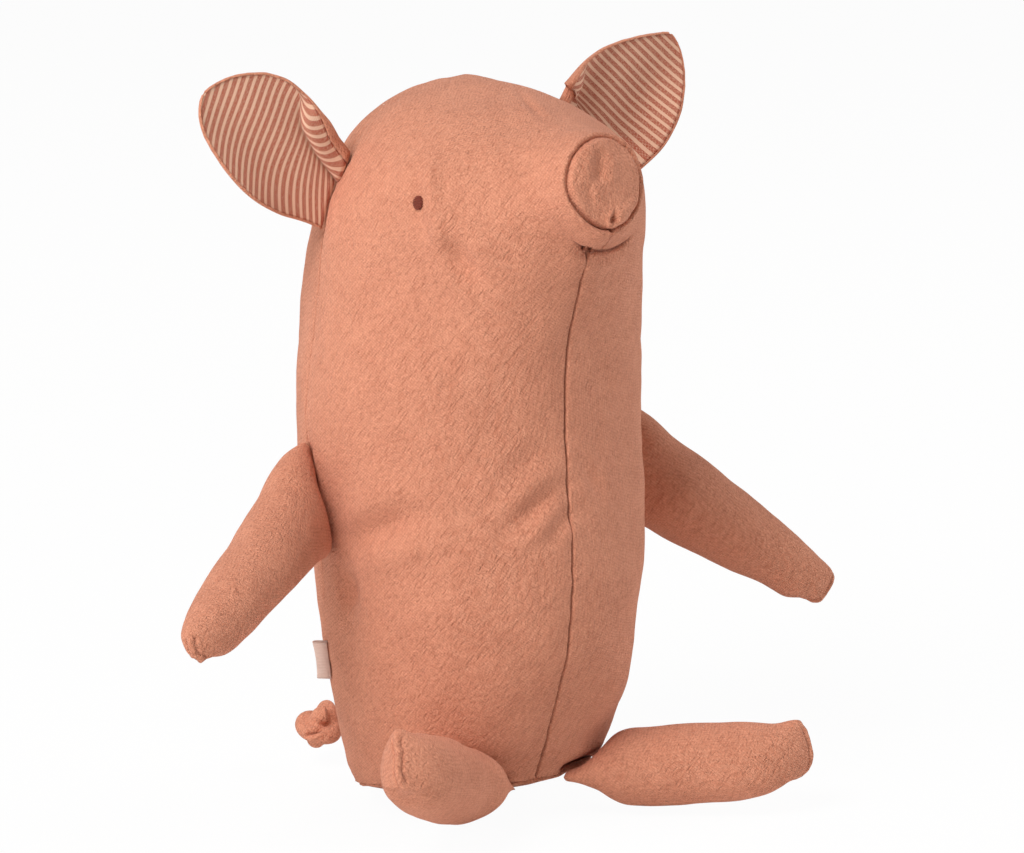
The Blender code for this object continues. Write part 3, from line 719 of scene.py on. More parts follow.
def settle(piece):
    """The base rests on a small round behind the middle, and rises from there to the seam round it."""
    places = places_of(piece)
    away = np.linalg.norm(places[:, :2] - np.array(SEAT_REST_CENTRE), axis=1)
    slope = SEAT_SLOPE * (1 + SEAT_FRONT_SHARE * np.clip((SEAT_REST_CENTRE[1] - places[:, 1]) / SEAT_FRONT_REACH, 0, 1))
    seat = np.maximum(0, away - SEAT_REST_RADIUS) * slope
    places[:, 2] = seat + SEAT_SOFTNESS * np.logaddexp(0, (places[:, 2] - seat) / SEAT_SOFTNESS)
    places[:, 2] -= places[:, 2].min()
    set_places(piece, places)


body = new_piece("body", body_surface(), linen)
subdivide(body, 2)
remesh(body, BODY_VOXEL)
smooth(body, 4)
push_out(body, CLOTH_LAYER)
inflate(body, cap=2.2 * MM)
settle(body)
subdivide(body, 1)
smooth(body, 2)
print(f"body: {len(body.data.polygons)} faces")

# %% [markdown]
# ## Body seams
#
# The front panel closes down its middle below the snout, and meets the two back panels at the side seams, which run
# over the crown. Lines of points are cut in beside each seam first, so that the thin line of a seam is modelled
# and not only shaded. Then the cloth dives to the line, the allowance inside lifts one side of it, and the cloth
# beside it gathers in small puckers.

# %% Body seams
SIDE_SEAM_BACK = 10 * MM
SIDE_SEAM_PLACE = BACKWARD * SIDE_SEAM_BACK
SEAM_LINES = (-1.1 * MM, -0.6 * MM, -0.28 * MM, 0.0, 0.28 * MM, 0.6 * MM, 1.1 * MM)
SEAM_REACH, PUCKER_REACH = 4 * MM, 14 * MM
FRONT_SEAM_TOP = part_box("snout_disc")[0].z - 6 * MM
SEAM_DEPTH, SEAM_WIDTH = 1.1 * MM, 0.32 * MM
VALLEY_DEPTH, VALLEY_WIDTH = 0.5 * MM, 3.2 * MM
WELT_RISE, WELT_PLACE, WELT_WIDTH = 0.3 * MM, 1.5 * MM, 0.9 * MM
PUCKER_RISE, PUCKER_SIZE, PUCKER_WIDTH = 0.45 * MM, 4.2 * MM, 4.5 * MM
PUCKER_SQUEEZE = 0.86
DISC_HALF_WIDTH, DISC_HALF_HEIGHT = 14.5 * MM, 15.0 * MM
SNOUT_EDGE_SHARE = 0.34
# The unevenness of the stuffing: its size, its height and a seed.
BODY_LUMPS = ((42 * MM, 1.5 * MM, 3), (17 * MM, 0.7 * MM, 8), (7 * MM, 0.22 * MM, 15))
SNOUT_DEPTH, SNOUT_DOME = 14 * MM, 0.8 * MM


def disc_frame():
    """The middle of the CAD disc, the way it faces, and its upward direction."""
    places = vectors_of(nodes["snout_disc"].data, "co")
    facing = Vector(np.linalg.svd(places - places.mean(0), full_matrices=False)[2][2])
    if facing.dot(FORWARD) < 0:
        facing = -facing
    upward = facing.cross(LEFT).normalized()
    return Vector((places.min(0) + places.max(0)) / 2), facing, upward if upward.z > 0 else -upward


def flatten_snout(piece):
    """The stuffed snout ends in a nearly flat face with a rounded edge, on the plane of the disc."""
    places = places_of(piece)
    offset = places - np.array(disc_centre)
    height, side, rise = (offset @ np.array(way) for way in (disc_facing, LEFT, disc_up))
    share = np.hypot(side / DISC_HALF_WIDTH, rise / DISC_HALF_HEIGHT)
    weight = soft_step(1 - (share - 1) / SNOUT_EDGE_SHARE) * (height > -SNOUT_DEPTH)
    set_places(piece, places + np.outer(weight * (-SNOUT_DOME * share**2 - height), np.array(disc_facing)))


def front_seam(places):
    """1 where the centre-front seam runs, fading under the snout."""
    below = np.clip((FRONT_SEAM_TOP - places[:, 2]) / (4 * MM), 0, 1)
    return below * (places[:, 1] < 0) * (places[:, 2] > 1 * MM)


def back_seam(places):
    return ((places[:, 1] > SIDE_SEAM_BACK) & (places[:, 2] > 4 * MM)).astype(float)


def side_seam(places):
    return (places[:, 2] > 6 * MM).astype(float)


def sew(piece, place, normal, where, seed):
    """A seam in a plane: its line, the valley round it, the welt on one side and the puckers across it."""
    places = places_of(piece)
    across = (places - np.array(place)) @ np.array(normal)
    chosen = np.flatnonzero((np.abs(across) < PUCKER_REACH) & (where(places) > 0))
    near, share = across[chosen], where(places)[chosen]
    squeezed = places[chosen] - np.outer(near * PUCKER_SQUEEZE, np.array(normal))
    shift = Vector((seed, 0, seed * 1.7))
    ripple = np.array([noise.noise(Vector(point) / PUCKER_SIZE + shift) for point in squeezed])
    form = -SEAM_DEPTH * bell(near / SEAM_WIDTH) - VALLEY_DEPTH * bell(near / VALLEY_WIDTH)
    form += WELT_RISE * bell((near - WELT_PLACE) / WELT_WIDTH)
    form += PUCKER_RISE * ripple * bell(near / PUCKER_WIDTH)
    push_out(piece, form * share, chosen)
    # Painted shade along the seam's line.
    mark_painted_shade(piece, chosen, near, 0.6 * share, width=0.34 * MM)


disc_centre, disc_facing, disc_up = disc_frame()
subdivide(body, 1)
flatten_snout(body)
body_tree = surface_of(body)
with edited(body) as bm:
    cut_loops(bm, Vector(), LEFT, SEAM_LINES, lambda c: abs(c.x) < SEAM_REACH and c.y < 0 and c.z < FRONT_SEAM_TOP)
    cut_loops(bm, Vector(), LEFT, SEAM_LINES, lambda c: abs(c.x) < SEAM_REACH and c.y > 0)
    cut_loops(bm, SIDE_SEAM_PLACE, BACKWARD, SEAM_LINES, lambda c: abs(c.y - SIDE_SEAM_BACK) < SEAM_REACH)
for size, depth, seed in BODY_LUMPS:
    lumps(body, size, depth, seed)
sew(body, Vector(), LEFT, front_seam, seed=1)
sew(body, Vector(), LEFT, back_seam, seed=2)
sew(body, SIDE_SEAM_PLACE, FORWARD, side_seam, seed=5)
print(f"body: {len(body.data.polygons)} faces with its seams")

# %% [markdown]
# ## Creases of the face and the belly
#
# Stuffed cloth creases where it is pulled: under the snout, where the chin folds over the neck, beside the eye,
# where the thread draws the cloth in, and on the belly, where the seams pull. Each crease is a path given by what
# the camera sees, laid on the body by sight lines, and pressed in. Wide forms come first, then the thin lines.

# %% Creases of the face and the belly
SMILE_CREASE = (
    (571, 239), (576, 243.5), (584, 248.5), (592, 251), (600, 251.5), (609, 250.5), (618, 247), (627, 241), (634, 233)
)
CHIN_SEAM = ((611, 226), (612, 233), (609, 240), (604, 246), (600, 251))
EYE_CREASE = ((419, 158), (417, 180), (420, 203), (424, 226), (432, 250))
EYE_RIDGE = ((432, 150), (432, 180), (436, 210), (440, 240), (447, 262))
CHEEK_HOLLOW = ((444, 236), (456, 255), (470, 274), (484, 292))
BROW_CREASE = ((513, 89), (524, 99), (537, 112), (552, 124))
BELLY_CREASES = (
    ((570, 474), (556, 490), (538, 505), (518, 522), (494, 546)),
    ((573, 502), (563, 517), (553, 532), (546, 552)),
    ((576, 452), (586, 468), (598, 488), (606, 508)),
    ((560, 440), (540, 452), (515, 470), (488, 494)),
)
WAIST_HOLLOW = ((340, 546), (362, 538), (388, 527), (416, 518), (444, 524))
# Each wide crease with its width and depth in mm, the share of the depth that its shoulders rise, and its fading.
WIDE_CREASES = (
    (SMILE_CREASE, 2.4, 1.5, 0.5, 0.25),
    (EYE_CREASE, 2.4, 0.6, 0.2, 0.3),
    (EYE_RIDGE, 2.8, -1.3, 0.0, 0.3),
    (CHEEK_HOLLOW, 3.6, 2.2, 0.3, 0.4),
    (BROW_CREASE, 1.4, 0.8, 0.4, 0.4),
    (BELLY_CREASES[0], 3.2, 1.8, 0.45, 0.45),
    (BELLY_CREASES[1], 2.6, 1.3, 0.45, 0.45),
    (BELLY_CREASES[2], 2.6, 1.1, 0.45, 0.45),
    (BELLY_CREASES[3], 3.6, 0.9, 0.45, 0.45),
    (WAIST_HOLLOW, 4.5, 2.6, 0.45, 0.4),
)
CHIN_BULGE, SIDE_HOLLOW, LEG_ROOT_HOLLOW = (597, 237), (346, 594), (505, 770)
# The crown's forms: to the right of its middle, radius and rise, in mm.
CROWN_FORMS = ((-5, 6, 1.0), (-12, 10, 1.8), (8, 24, 2.0))
# Soft forms of the stuffing: what the camera sees, radius and depth, in mm.
SOFT_FORMS = (
    ((490, 90), 18, -1.2),
    ((395, 112), 16, -1.0),
    ((632, 525), 12, 1.6),
    ((618, 680), 14, -1.6),
    ((446, 222), 7, -0.8),
)
LIMB_JOINTS = {
    "arm_left": "arm_left_swing",
    "arm_right": "arm_right_swing",
    "leg_left": "leg_left_lift",
    "leg_right": "leg_right_lift",
}
ARM_ROOT_HALF, LEG_ROOT_HALF = 19 * MM, 15 * MM
BASE_SEAM_STEPS = 40


def on_body(pixels):
    return smoothed_path(seen_at(body_tree, *pixels))


def base_seam():
    """The rim of the base panel, laid on the body: the outermost point of the panel on each side."""
    panel = [vert.co for vert in nodes["base_panel"].data.vertices]
    ring = []
    for step in range(BASE_SEAM_STEPS):
        turn = math.tau * step / BASE_SEAM_STEPS
        way = Vector((math.cos(turn), math.sin(turn), 0))
        ring.append(body_tree.find_nearest(max(panel, key=lambda place: place.dot(way)))[0])
    return smoothed_path([*ring, ring[0]], steps=3)


def root_crease(name):
    """The line where a limb is sewn on, laid on the body."""
    root, line = joint_line(LIMB_JOINTS[name])
    half = ARM_ROOT_HALF if name.startswith("arm") else LEG_ROOT_HALF
    steps = [root + line * half * share for share in (-1, -0.6, -0.2, 0.2, 0.6, 1)]
    return smoothed_path([body_tree.find_nearest(step)[0] for step in steps])


dent(body, seen_at(body_tree, CHIN_BULGE)[0], 6 * MM, -1.8 * MM)
for path, width, depth, shoulder, fade in WIDE_CREASES:
    press(body, on_body(path), width * MM, depth * MM, shoulder, fade)
dent(body, seen_at(body_tree, SIDE_HOLLOW)[0], 5 * MM, 4.0 * MM, taller=1.5)
dent(body, seen_at(body_tree, LEG_ROOT_HOLLOW)[0], 9 * MM, 1.5 * MM)
crown = SIDE_SEAM_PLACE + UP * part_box("head_filling")[1].z
for to_right, radius, rise in CROWN_FORMS:
    dent(body, crown + RIGHT * to_right * MM, radius * MM, -rise * MM)
for pixel, radius, depth in SOFT_FORMS:
    dent(body, seen_at(body_tree, pixel)[0], radius * MM, depth * MM)

body_tree = surface_of(body)
smile, chin, seat_seam = on_body(SMILE_CREASE), on_body(CHIN_SEAM), base_seam()
refine(body, smile, 3.0 * MM)
refine(body, smile, 1.5 * MM)
refine(body, chin, 1.5 * MM, rounds=2)
# The thin creases, the base seam and the roots of the limbs also get painted shade along their lines.
press(body, smile, 0.6 * MM, 1.0 * MM, shoulder=0.1, fade=0.25, shade=0.85)
press(body, chin, 0.4 * MM, 1.3 * MM, shoulder=0.15, fade=0.1, shade=0.8)
refine(body, seat_seam, 1.8 * MM)
press(body, seat_seam, 0.5 * MM, 1.1 * MM, shoulder=0.5, fade=0, shade=0.8)
for name in LIMB_JOINTS:
    press(body, root_crease(name), 2.4 * MM, 2.2 * MM, shoulder=0.3, fade=0.15, shade=0.5)
print("creases pressed")

# %% [markdown]
# ## Limbs
#
# Each limb is a small sock of cloth, sewn flat to the body at its root and closed by a seam across its end. Its
# outer skin comes from the frame's cover, which already has that flat end. The root is let into the body a little,
# so that cloth meets cloth when the limb moves. The sock is subdivided and inflated with its root held still.

# %% Limb tools
ROOT_SINK, ROOT_HELD, TIP_DEPTH = 3 * MM, 4 * MM, 4 * MM
AXIS_END_SHARE = 0.88
LIMB_CAP = 2.5 * MM


def limb_line(name):
    """The root, the middle of the tip and the root line of a limb, from its joint and its cover."""
    root, line = joint_line(LIMB_JOINTS[name])
    places = [vert.co for vert in nodes[f"{name}_cover"].data.vertices]
    farthest = max((place - root).length for place in places)
    tip = [place for place in places if (place - root).length > farthest - TIP_DEPTH]
    return root, sum(tip, Vector()) / len(tip), line


def outer_skin(name):
    """The outer faces of a limb's cover, open at the root."""
    root, tip, _ = limb_line(name)
    axis = tip - root
    bm = node_copy(f"{name}_cover")
    inner = []
    for face in bm.faces:
        centre = face.calc_center_median()
        share = min(max((centre - root).dot(axis) / axis.length_squared, 0), AXIS_END_SHARE)
        if face.normal.dot(centre - (root + axis * share)) < 0:
            inner.append(face)
    bmesh.ops.delete(bm, geom=inner, context="FACES")
    return bm


def build_limb(name):
    root, tip, _ = limb_line(name)
    inward = (root - tip).normalized()
    bm = outer_skin(name)
    rim = [edge for edge in bm.edges if edge.is_boundary]
    pulled = bmesh.ops.extrude_edge_only(bm, edges=rim)["geom"]
    moved = [part for part in pulled if isinstance(part, bmesh.types.BMVert)]
    bmesh.ops.translate(bm, verts=moved, vec=inward * ROOT_SINK)
    bmesh.ops.holes_fill(bm, edges=[edge for edge in bm.edges if edge.is_boundary])
    bmesh.ops.recalc_face_normals(bm, faces=bm.faces)
    piece = new_piece(name, bm, linen)
    subdivide(piece, 2)
    inflate(piece, cap=LIMB_CAP, held=np.flatnonzero(depth_in(piece, root, -inward) < ROOT_HELD))
    subdivide(piece, 2)
    return piece


def depth_in(piece, root, heading):
    """How far each point lies from the root, along the limb."""
    return (places_of(piece) - np.array(root)) @ np.array(heading)


print("limb joints:", {name: joints[joint]["pos_m"] for name, joint in LIMB_JOINTS.items()})

# %% [markdown]
# ## Arms and legs, shaped
#
# The cloth at a flat seam can't follow the round of the stuffing, so it gathers there: a raised ridge runs along the
# end seam, and short puckers run back from it. The two arms and the two legs were stuffed by hand, so no two of
# them are alike: the left arm sags a little and is fuller.

# %% Arms and legs
ROOT_BULGE, ROOT_BULGE_PLACE, ROOT_BULGE_REACH = 1.4 * MM, 10 * MM, 7 * MM
SHOULDER_RISE, SHOULDER_RADIUS, SHOULDER_SWELL = 14 * MM, 9 * MM, 2.2 * MM
# The unevenness of the stuffing: its size, its height and what is added to the limb's seed.
LIMB_LUMPS = ((16 * MM, 0.8 * MM, 21), (6 * MM, 0.18 * MM, 31))
END_REACH, END_BAND, END_STEPS = 9 * MM, 1.2 * MM, 15
PUSH_WIDTH, RECEDE_WIDTH, CORNER_WIDTH, LOWER_WIDTH = 3 * MM, 9 * MM, 5 * MM, 6 * MM
# How far the end seam is pushed out, its upper corner raised and its lower end cut back.
ARM_END, LEG_END = (0.3 * MM, 0.3 * MM, 3.2 * MM), (1.6 * MM, 3.2 * MM, 4.5 * MM)
TOE_START, TOE_REACH, TOE_NARROW_SHARE = 40 * MM, 34 * MM, 0.24
ARM_LEFT_SAG, SAG_PLACE, SAG_REACH = 1.0 * MM, 40 * MM, 24 * MM
ARM_LEFT_SWELL, SWELL_RADIUS = 2.7 * MM, 22 * MM
ARM_LEFT_TIP_SWELL, TIP_SWELL_RADIUS = 1.6 * MM, 7 * MM


def end_ridge(piece, heading, way):
    """The line of a limb's end seam: for each step across the end, the point that reaches farthest."""
    places = places_of(piece)
    reach, across = places @ np.array(heading), places @ np.array(way)
    near_end = reach > reach.max() - END_REACH
    low, high = across[near_end].min(), across[near_end].max()
    path = []
    for step in range(END_STEPS):
        at = low + (high - low) * (step + 0.5) / END_STEPS
        band = np.flatnonzero(near_end & (np.abs(across - at) < END_BAND))
        path.append(Vector(places[band[np.argmax(reach[band])]]))
    return smoothed_path(path, steps=3)


def square_end(piece, heading, way, push, corner, recede):
    """Pulls the end seam out to an edge with a corner at its upper end. Its lower end is cut back and rounder."""
    places, path = places_of(piece), end_ridge(piece, heading, way)
    near, along = distance_to_path(places, path)
    side = (2 * along - 1) * (1 if (path[-1] - path[0]).dot(way) > 0 else -1)
    upper, lower = np.maximum(0, side), np.maximum(0, -side)
    out = push * bell(near / PUSH_WIDTH) - recede * lower**1.5 * bell(near / RECEDE_WIDTH)
    spread = corner * upper**4 * bell(near / CORNER_WIDTH) + recede * 0.4 * lower**2 * bell(near / LOWER_WIDTH)
    set_places(piece, places + np.outer(out, np.array(heading)) + np.outer(spread, np.array(way)))


def narrow_toe(piece, root, heading):
    """The leg's end is less high than its middle, mostly on its lower side."""
    places, depth = places_of(piece), depth_in(piece, root, heading)
    above = places[:, 2] - (root.z + depth * heading.z)
    narrow = TOE_NARROW_SHARE * soft_step((depth - TOE_START) / TOE_REACH)
    places[:, 2] -= np.where(above < 0, above, 0.3 * above) * narrow
    set_places(piece, places)


def sag(piece, root, heading, drop, middle, reach):
    """Lowers the limb in a soft bow along its length."""
    places = places_of(piece)
    places[:, 2] -= drop * bell((depth_in(piece, root, heading) - middle) / reach)
    set_places(piece, places)


limbs = {name: build_limb(name) for name in LIMB_JOINTS}
for seed, (name, piece) in enumerate(limbs.items()):
    root, tip, line = limb_line(name)
    heading = (tip - root).normalized()
    thick_way = heading.cross(line).normalized()
    across = thick_way.cross(heading) if name.startswith("arm") else thick_way
    if across.z < 0:
        across = -across
    push_out(piece, ROOT_BULGE * bell((depth_in(piece, root, heading) - ROOT_BULGE_PLACE) / ROOT_BULGE_REACH))
    for size, depth, shift in LIMB_LUMPS:
        lumps(piece, size, depth, seed + shift)
    if name == "arm_left":
        sag(piece, root, heading, ARM_LEFT_SAG, SAG_PLACE, SAG_REACH)
        dent(piece, root + heading * 36 * MM, SWELL_RADIUS, -ARM_LEFT_SWELL)
        dent(piece, tip - heading * 5 * MM - across * 8 * MM, TIP_SWELL_RADIUS, -ARM_LEFT_TIP_SWELL)
    if name.startswith("arm"):
        shoulder = root + line * math.copysign(SHOULDER_RISE, line.z) + heading * 7 * MM
        dent(piece, shoulder, SHOULDER_RADIUS, -SHOULDER_SWELL)
        square_end(piece, heading, across, *ARM_END)
    else:
        narrow_toe(piece, root, heading)
        square_end(piece, heading, across, *LEG_END)
    smooth(piece, 5)
    sew_along(piece, end_ridge(piece, heading, across), seed)
    root + heading * 12 * MM
    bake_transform(piece)
    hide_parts(f"{name}_cover", f"{name}_filling")
    print(f"{name}: {len(piece.data.polygons)} faces")

# %% The body goes with the torso
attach(body, "torso")
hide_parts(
    "front_panel", "back_panel_left", "back_panel_right", "base_panel", "body_filling", "head_filling"
)
print("body rides on the torso")

# %% [markdown]
# ## Snout disc
#
# The snout ends in a separate round of cloth with stuffing behind it. It is slightly egg-shaped, wide at the top
# and drawn to a point at the bottom, where the seams below the snout meet. It lies flush with the snout, so its
# front is laid on the body's own surface and a little above it. Its rim dives into a groove pressed into the body.

# %% Snout disc
DISC_POINT_SHARE = 0.26
DISC_RISE, DISC_CROWN = 0.5 * MM, 0.8 * MM
DISC_DIVE, DISC_RIM_SHARE = 2.2 * MM, 0.91
DISC_DEPTH = 2.0 * MM
DISC_VALLEY = ((603, 146), (601, 158), (600, 172), (601, 187))
DISC_SLIT = ((614.5, 206), (614.5, 213), (613.8, 220), (612.5, 229))
DISC_LOBE = (621, 214)
DISC_FOLD = ((588, 182), (590, 196), (597, 209))
DISC_RIM_STEPS = 60


def disc_place(side, rise):
    """A point of the disc's plane: side and rise run from -1 to 1 inside its egg-shaped outline."""
    narrow = 1 - DISC_POINT_SHARE * min(0, rise) ** 2
    return disc_centre + LEFT * side * narrow * DISC_HALF_WIDTH + disc_up * rise * DISC_HALF_HEIGHT


def on_snout(place):
    """The point of the body in front of a point of the disc's plane."""
    hit = body_tree.ray_cast(place + disc_facing * 30 * MM, -disc_facing)[0]
    return hit or body_tree.find_nearest(place)[0]


def disc_rim():
    turns = [math.tau * step / DISC_RIM_STEPS for step in range(DISC_RIM_STEPS)]
    rim = [on_snout(disc_place(math.cos(turn), math.sin(turn))) for turn in turns]
    return [*rim, rim[0]]


def build_disc():
    bm = bmesh.new()
    bmesh.ops.create_uvsphere(bm, u_segments=96, v_segments=72, radius=1)
    for vert in bm.verts:
        share = min(1, vert.co.xy.length)
        seat = on_snout(disc_place(vert.co.x, vert.co.y))
        dive = DISC_DIVE * soft_step((share - DISC_RIM_SHARE) / (1 - DISC_RIM_SHARE))
        lift = DISC_RISE + DISC_CROWN * (1 - share**2) - dive
        vert.co = seat + disc_facing * (lift if vert.co.z >= 0 else -DISC_DIVE - DISC_DEPTH * (1 - share))
    bmesh.ops.recalc_face_normals(bm, faces=bm.faces)
    return new_piece("snout_disc_cloth", bm, linen)


def on_disc(pixels):
    return smoothed_path(seen_at(disc_tree, *pixels))


body_tree = surface_of(body)
disc = build_disc()
subdivide(disc, 1)
rim = disc_rim()
refine(body, rim, 3.0 * MM)
refine(body, rim, 1.8 * MM)
# Painted shade darkens the groove round the disc.
press(body, rim, 0.75 * MM, 2.2 * MM, shoulder=0.25, fade=0, shade=0.8)
disc_tree = surface_of(disc)
press(disc, on_disc(DISC_VALLEY), 2.2 * MM, 1.2 * MM, shoulder=0.5, fade=0.25)
press(disc, on_disc(DISC_FOLD), 1.6 * MM, 0.5 * MM, shoulder=0.5, fade=0.4)
dent(disc, seen_at(disc_tree, DISC_LOBE)[0], 4.5 * MM, -1.0 * MM)
# Painted shade darkens the slit.
press(disc, on_disc(DISC_SLIT), 0.8 * MM, 2.2 * MM, shoulder=0.35, fade=0.2, shade=0.8)
lumps(disc, 5 * MM, 0.25 * MM, seed=41)
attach(disc, "torso")
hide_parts("snout_disc")
print(f"snout disc at {disc_centre[:]}, facing {disc_facing[:]}")

# %% [markdown]
# ## Eyes
#
# Each eye is a small oval of satin stitch: strands of brown thread laid close beside each other through the cloth.
# A dot of paint would look flat from near by, so each strand is its own rounded length of thread.

# %% Eyes
EYE_HALF_WIDTH, EYE_HALF_HEIGHT = 2.0 * MM, 2.25 * MM
EYE_PIXEL = (418.7, 202.8)
EYE_STRANDS = 9
STRAND_OVERLAP = 1.3
STRAND_RISE, STRAND_SEAT, STRAND_END = 0.6 * MM, 0.4 * MM, 0.15 * MM
THREAD_BROWN = (0.23, 0.035, 0.013, 1)
THREAD_SHADE = (0.1265, 0.0175, 0.0065, 1)


def build_thread():
    material, tree, shader = new_material("thread", 0.5, sheen=0.1, specular=0.35)
    place = node(tree, "ShaderNodeMapping", {}, Vector=object_place(tree), Scale=(1, 1, 8))
    fibres = noise_at(tree, place, 2200.0, 2.0, 0.6)
    colour = blend_colours(tree, fibres.between(0.35, 0.7), THREAD_BROWN, THREAD_SHADE)
    set_surface(tree, shader, colour, 0.62 - fibres * 0.2, fibres, 0.0001)
    return material


def build_eye(name, thread):
    seen = seen_at(body_tree, EYE_PIXEL)[0]
    if name == "eye_left":
        seen.x = -seen.x
    place, normal = body_tree.find_nearest(seen)[:2]
    across = UP.cross(normal).normalized()
    upward = normal.cross(across)
    turn = Matrix((across, upward, normal)).transposed().to_4x4()
    bm = bmesh.new()
    for strand in range(EYE_STRANDS):
        share = (2 * strand + 1) / EYE_STRANDS - 1
        half = EYE_HALF_WIDTH * math.sqrt(1 - share**2) + STRAND_END
        seat = place + normal * STRAND_SEAT + upward * share * EYE_HALF_HEIGHT
        size = Matrix.Diagonal((half, STRAND_OVERLAP * EYE_HALF_HEIGHT / EYE_STRANDS, STRAND_RISE, 1))
        matrix = Matrix.Translation(seat) @ turn @ size
        bmesh.ops.create_uvsphere(bm, u_segments=14, v_segments=8, radius=1, matrix=matrix)
    return new_piece(f"{name}_stitches", bm, thread)


thread = build_thread()
body_tree = surface_of(body)
for name in ("eye_left", "eye_right"):
    eye = build_eye(name, thread)
    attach(eye, "torso")
    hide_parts(name)
print(f"eyes: {EYE_STRANDS} strands each")

# %% [markdown]
# ## Striped ear lining
#
# The ears are lined with a narrow woven stripe, terracotta on beige, that runs across the ear. Stripes have to
# follow the cloth through its cup and its pleat, so they read the lining's own UV map, which holds real metres:
# across the ear, and along it.

# %% Striped lining
STRIPE_PITCH, STRIPE_WEAVE = 2.55 * MM, 0.62 * MM
STRIPE_TERRACOTTA = (0.46, 0.085, 0.045, 1)
STRIPE_BEIGE = (0.90, 0.60, 0.43, 1)
# The colour of the weave's gaps and fuzz, and of the painted shade along the pleat's crease.
STRIPE_GAP_AND_PAINTED_SHADE = (0.36, 0.15, 0.09, 1)
UV_NAME = "cloth"


def build_lining():
    material, tree, shader = new_material("striped_lining", 0.92, sheen=0.1, specular=0.18)
    flat = node(tree, "ShaderNodeUVMap", {"uv_map": UV_NAME})
    across, along, _ = axes(tree, flat)
    along = along + (noise_at(tree, flat, 70.0) - 0.5) * 0.0006
    terracotta = (along / STRIPE_PITCH).zigzag().between(0.36, 0.46)
    over, under = (across / STRIPE_WEAVE).zigzag(), (along / STRIPE_WEAVE).zigzag()
    weave = over * under + (1 - over) * (1 - under)
    fuzz = noise_at(tree, flat, 1600.0, 2.0, 0.7)
    relief = mixed((weave, 0.7), (fuzz, 0.6))
    speck = relief.between(0.60, 0.80)
    colour = blend_colours(tree, terracotta * (1 - speck * 0.75), STRIPE_BEIGE, STRIPE_TERRACOTTA)
    # Painted shade along the pleat's crease, added to the darker gaps and fuzz of the weave.
    painted_crease_shade = node(tree, "ShaderNodeAttribute", {"attribute_name": PAINTED_SEAM_SHADE}, output=2)
    shade = mixed((1 - weave, 0.14), (fuzz.between(0.3, 0.8), 0.14), (painted_crease_shade, 0.6))
    colour = blend_colours(tree, shade, colour, STRIPE_GAP_AND_PAINTED_SHADE)
    set_surface(tree, shader, colour, 0.97 - weave * 0.1, relief, 0.0002)
    return material


def cloth_sheet(name, bm, flat, material, thickness, offset):
    """A sheet from a grid: flat gives each point's place on the uncut cloth, in metres. Returns its area too."""
    uv_layer = bm.loops.layers.uv.new(UV_NAME)
    for face in bm.faces:
        for loop in face.loops:
            loop[uv_layer].uv = flat[loop.vert.index]
    piece = new_piece(name, bm, material)
    area = sum(face.area for face in piece.data.polygons)
    solidify = piece.modifiers.new("cloth", "SOLIDIFY")
    solidify.thickness = thickness
    solidify.offset = offset
    apply_modifiers(piece)
    return piece, area


lining = build_lining()
print(f"lining: a stripe every {STRIPE_PITCH / MM:.2f} mm")

# %% [markdown]
# ## Ears
#
# An ear is a leaf of linen and a leaf of striped cloth, sewn round the edge and turned. The linen is cut a little
# larger, so it shows as a thin rim in front. Near the root the upper edge is folded over in a pleat: the linen
# rolls forward, then comes a strip of lining, and then a crease before the lining lies flat. One formula for the
# ear's cross-section, swept from root to tip, gives both layers, so they meet at the seam everywhere.
#
# The outline of an ear is drawn as a table from root to tip. The two ears differ, as they were sewn by hand.

# %% Ears
EAR_OUTLINES = {
    "ear_right": (
        (-0.06, 0.58, 0.76), (0.0, 0.62, 0.80), (0.1, 0.71, 0.84), (0.22, 0.86, 0.86), (0.36, 0.96, 0.88),
        (0.5, 0.96, 0.94), (0.64, 0.87, 0.94), (0.77, 0.72, 0.82), (0.85, 0.60, 0.66), (0.9, 0.49, 0.53),
        (0.94, 0.38, 0.39), (0.97, 0.26, 0.25), (0.99, 0.15, 0.13), (1.0, 0.04, 0.03),
    ),
    "ear_left": (
        (-0.06, 0.68, 1.34), (0.0, 0.74, 1.38), (0.1, 0.84, 1.38), (0.22, 0.95, 1.31), (0.36, 1.05, 1.27),
        (0.5, 1.04, 1.16), (0.64, 0.97, 0.95), (0.77, 0.82, 0.67), (0.85, 0.67, 0.46), (0.9, 0.53, 0.31),
        (0.94, 0.38, 0.18), (0.965, 0.24, 0.10), (0.98, 0.12, 0.04), (0.985, 0.04, 0.02),
    ),
}
EAR_UPPER, EAR_LOWER = 21.5 * MM, 18.0 * MM
EAR_CUP = 6.0 * MM
EAR_SQUARE_SHARE = 0.38
EAR_RIM, EAR_LAYER, EAR_CLOTH = 0.3 * MM, 0.7 * MM, 0.5 * MM
CREASE_GAP, PAINTED_CREASE_SHADE_SHARE = 0.2 * MM, 0.03
PLEAT_BAND, PLEAT_STRIP, PLEAT_RISE, PLEAT_BULGE = 3.6 * MM, 6.0 * MM, 3.6 * MM, 2.4 * MM
PLEAT_DIVE, PLEAT_DIVE_START = 0.45 * MM, 0.82
BAND_SHARES, STRIP_SHARES = (0.10, 0.50), (0.36, 0.56)
EAR_FOLD, EAR_FOLD_WIDTH = 1.1 * MM, 4.2 * MM
STRIPE_SKEWS = {"ear_right": math.radians(20), "ear_left": math.radians(5)}
STRIP_SKEW, STRIP_CLOTH = math.radians(-50), 9 * MM
EAR_ALONG, EAR_ACROSS = 56, 56
FLAT_PART = 0.68
LOWER_TURN, UPPER_TURN = 0.14, 0.224


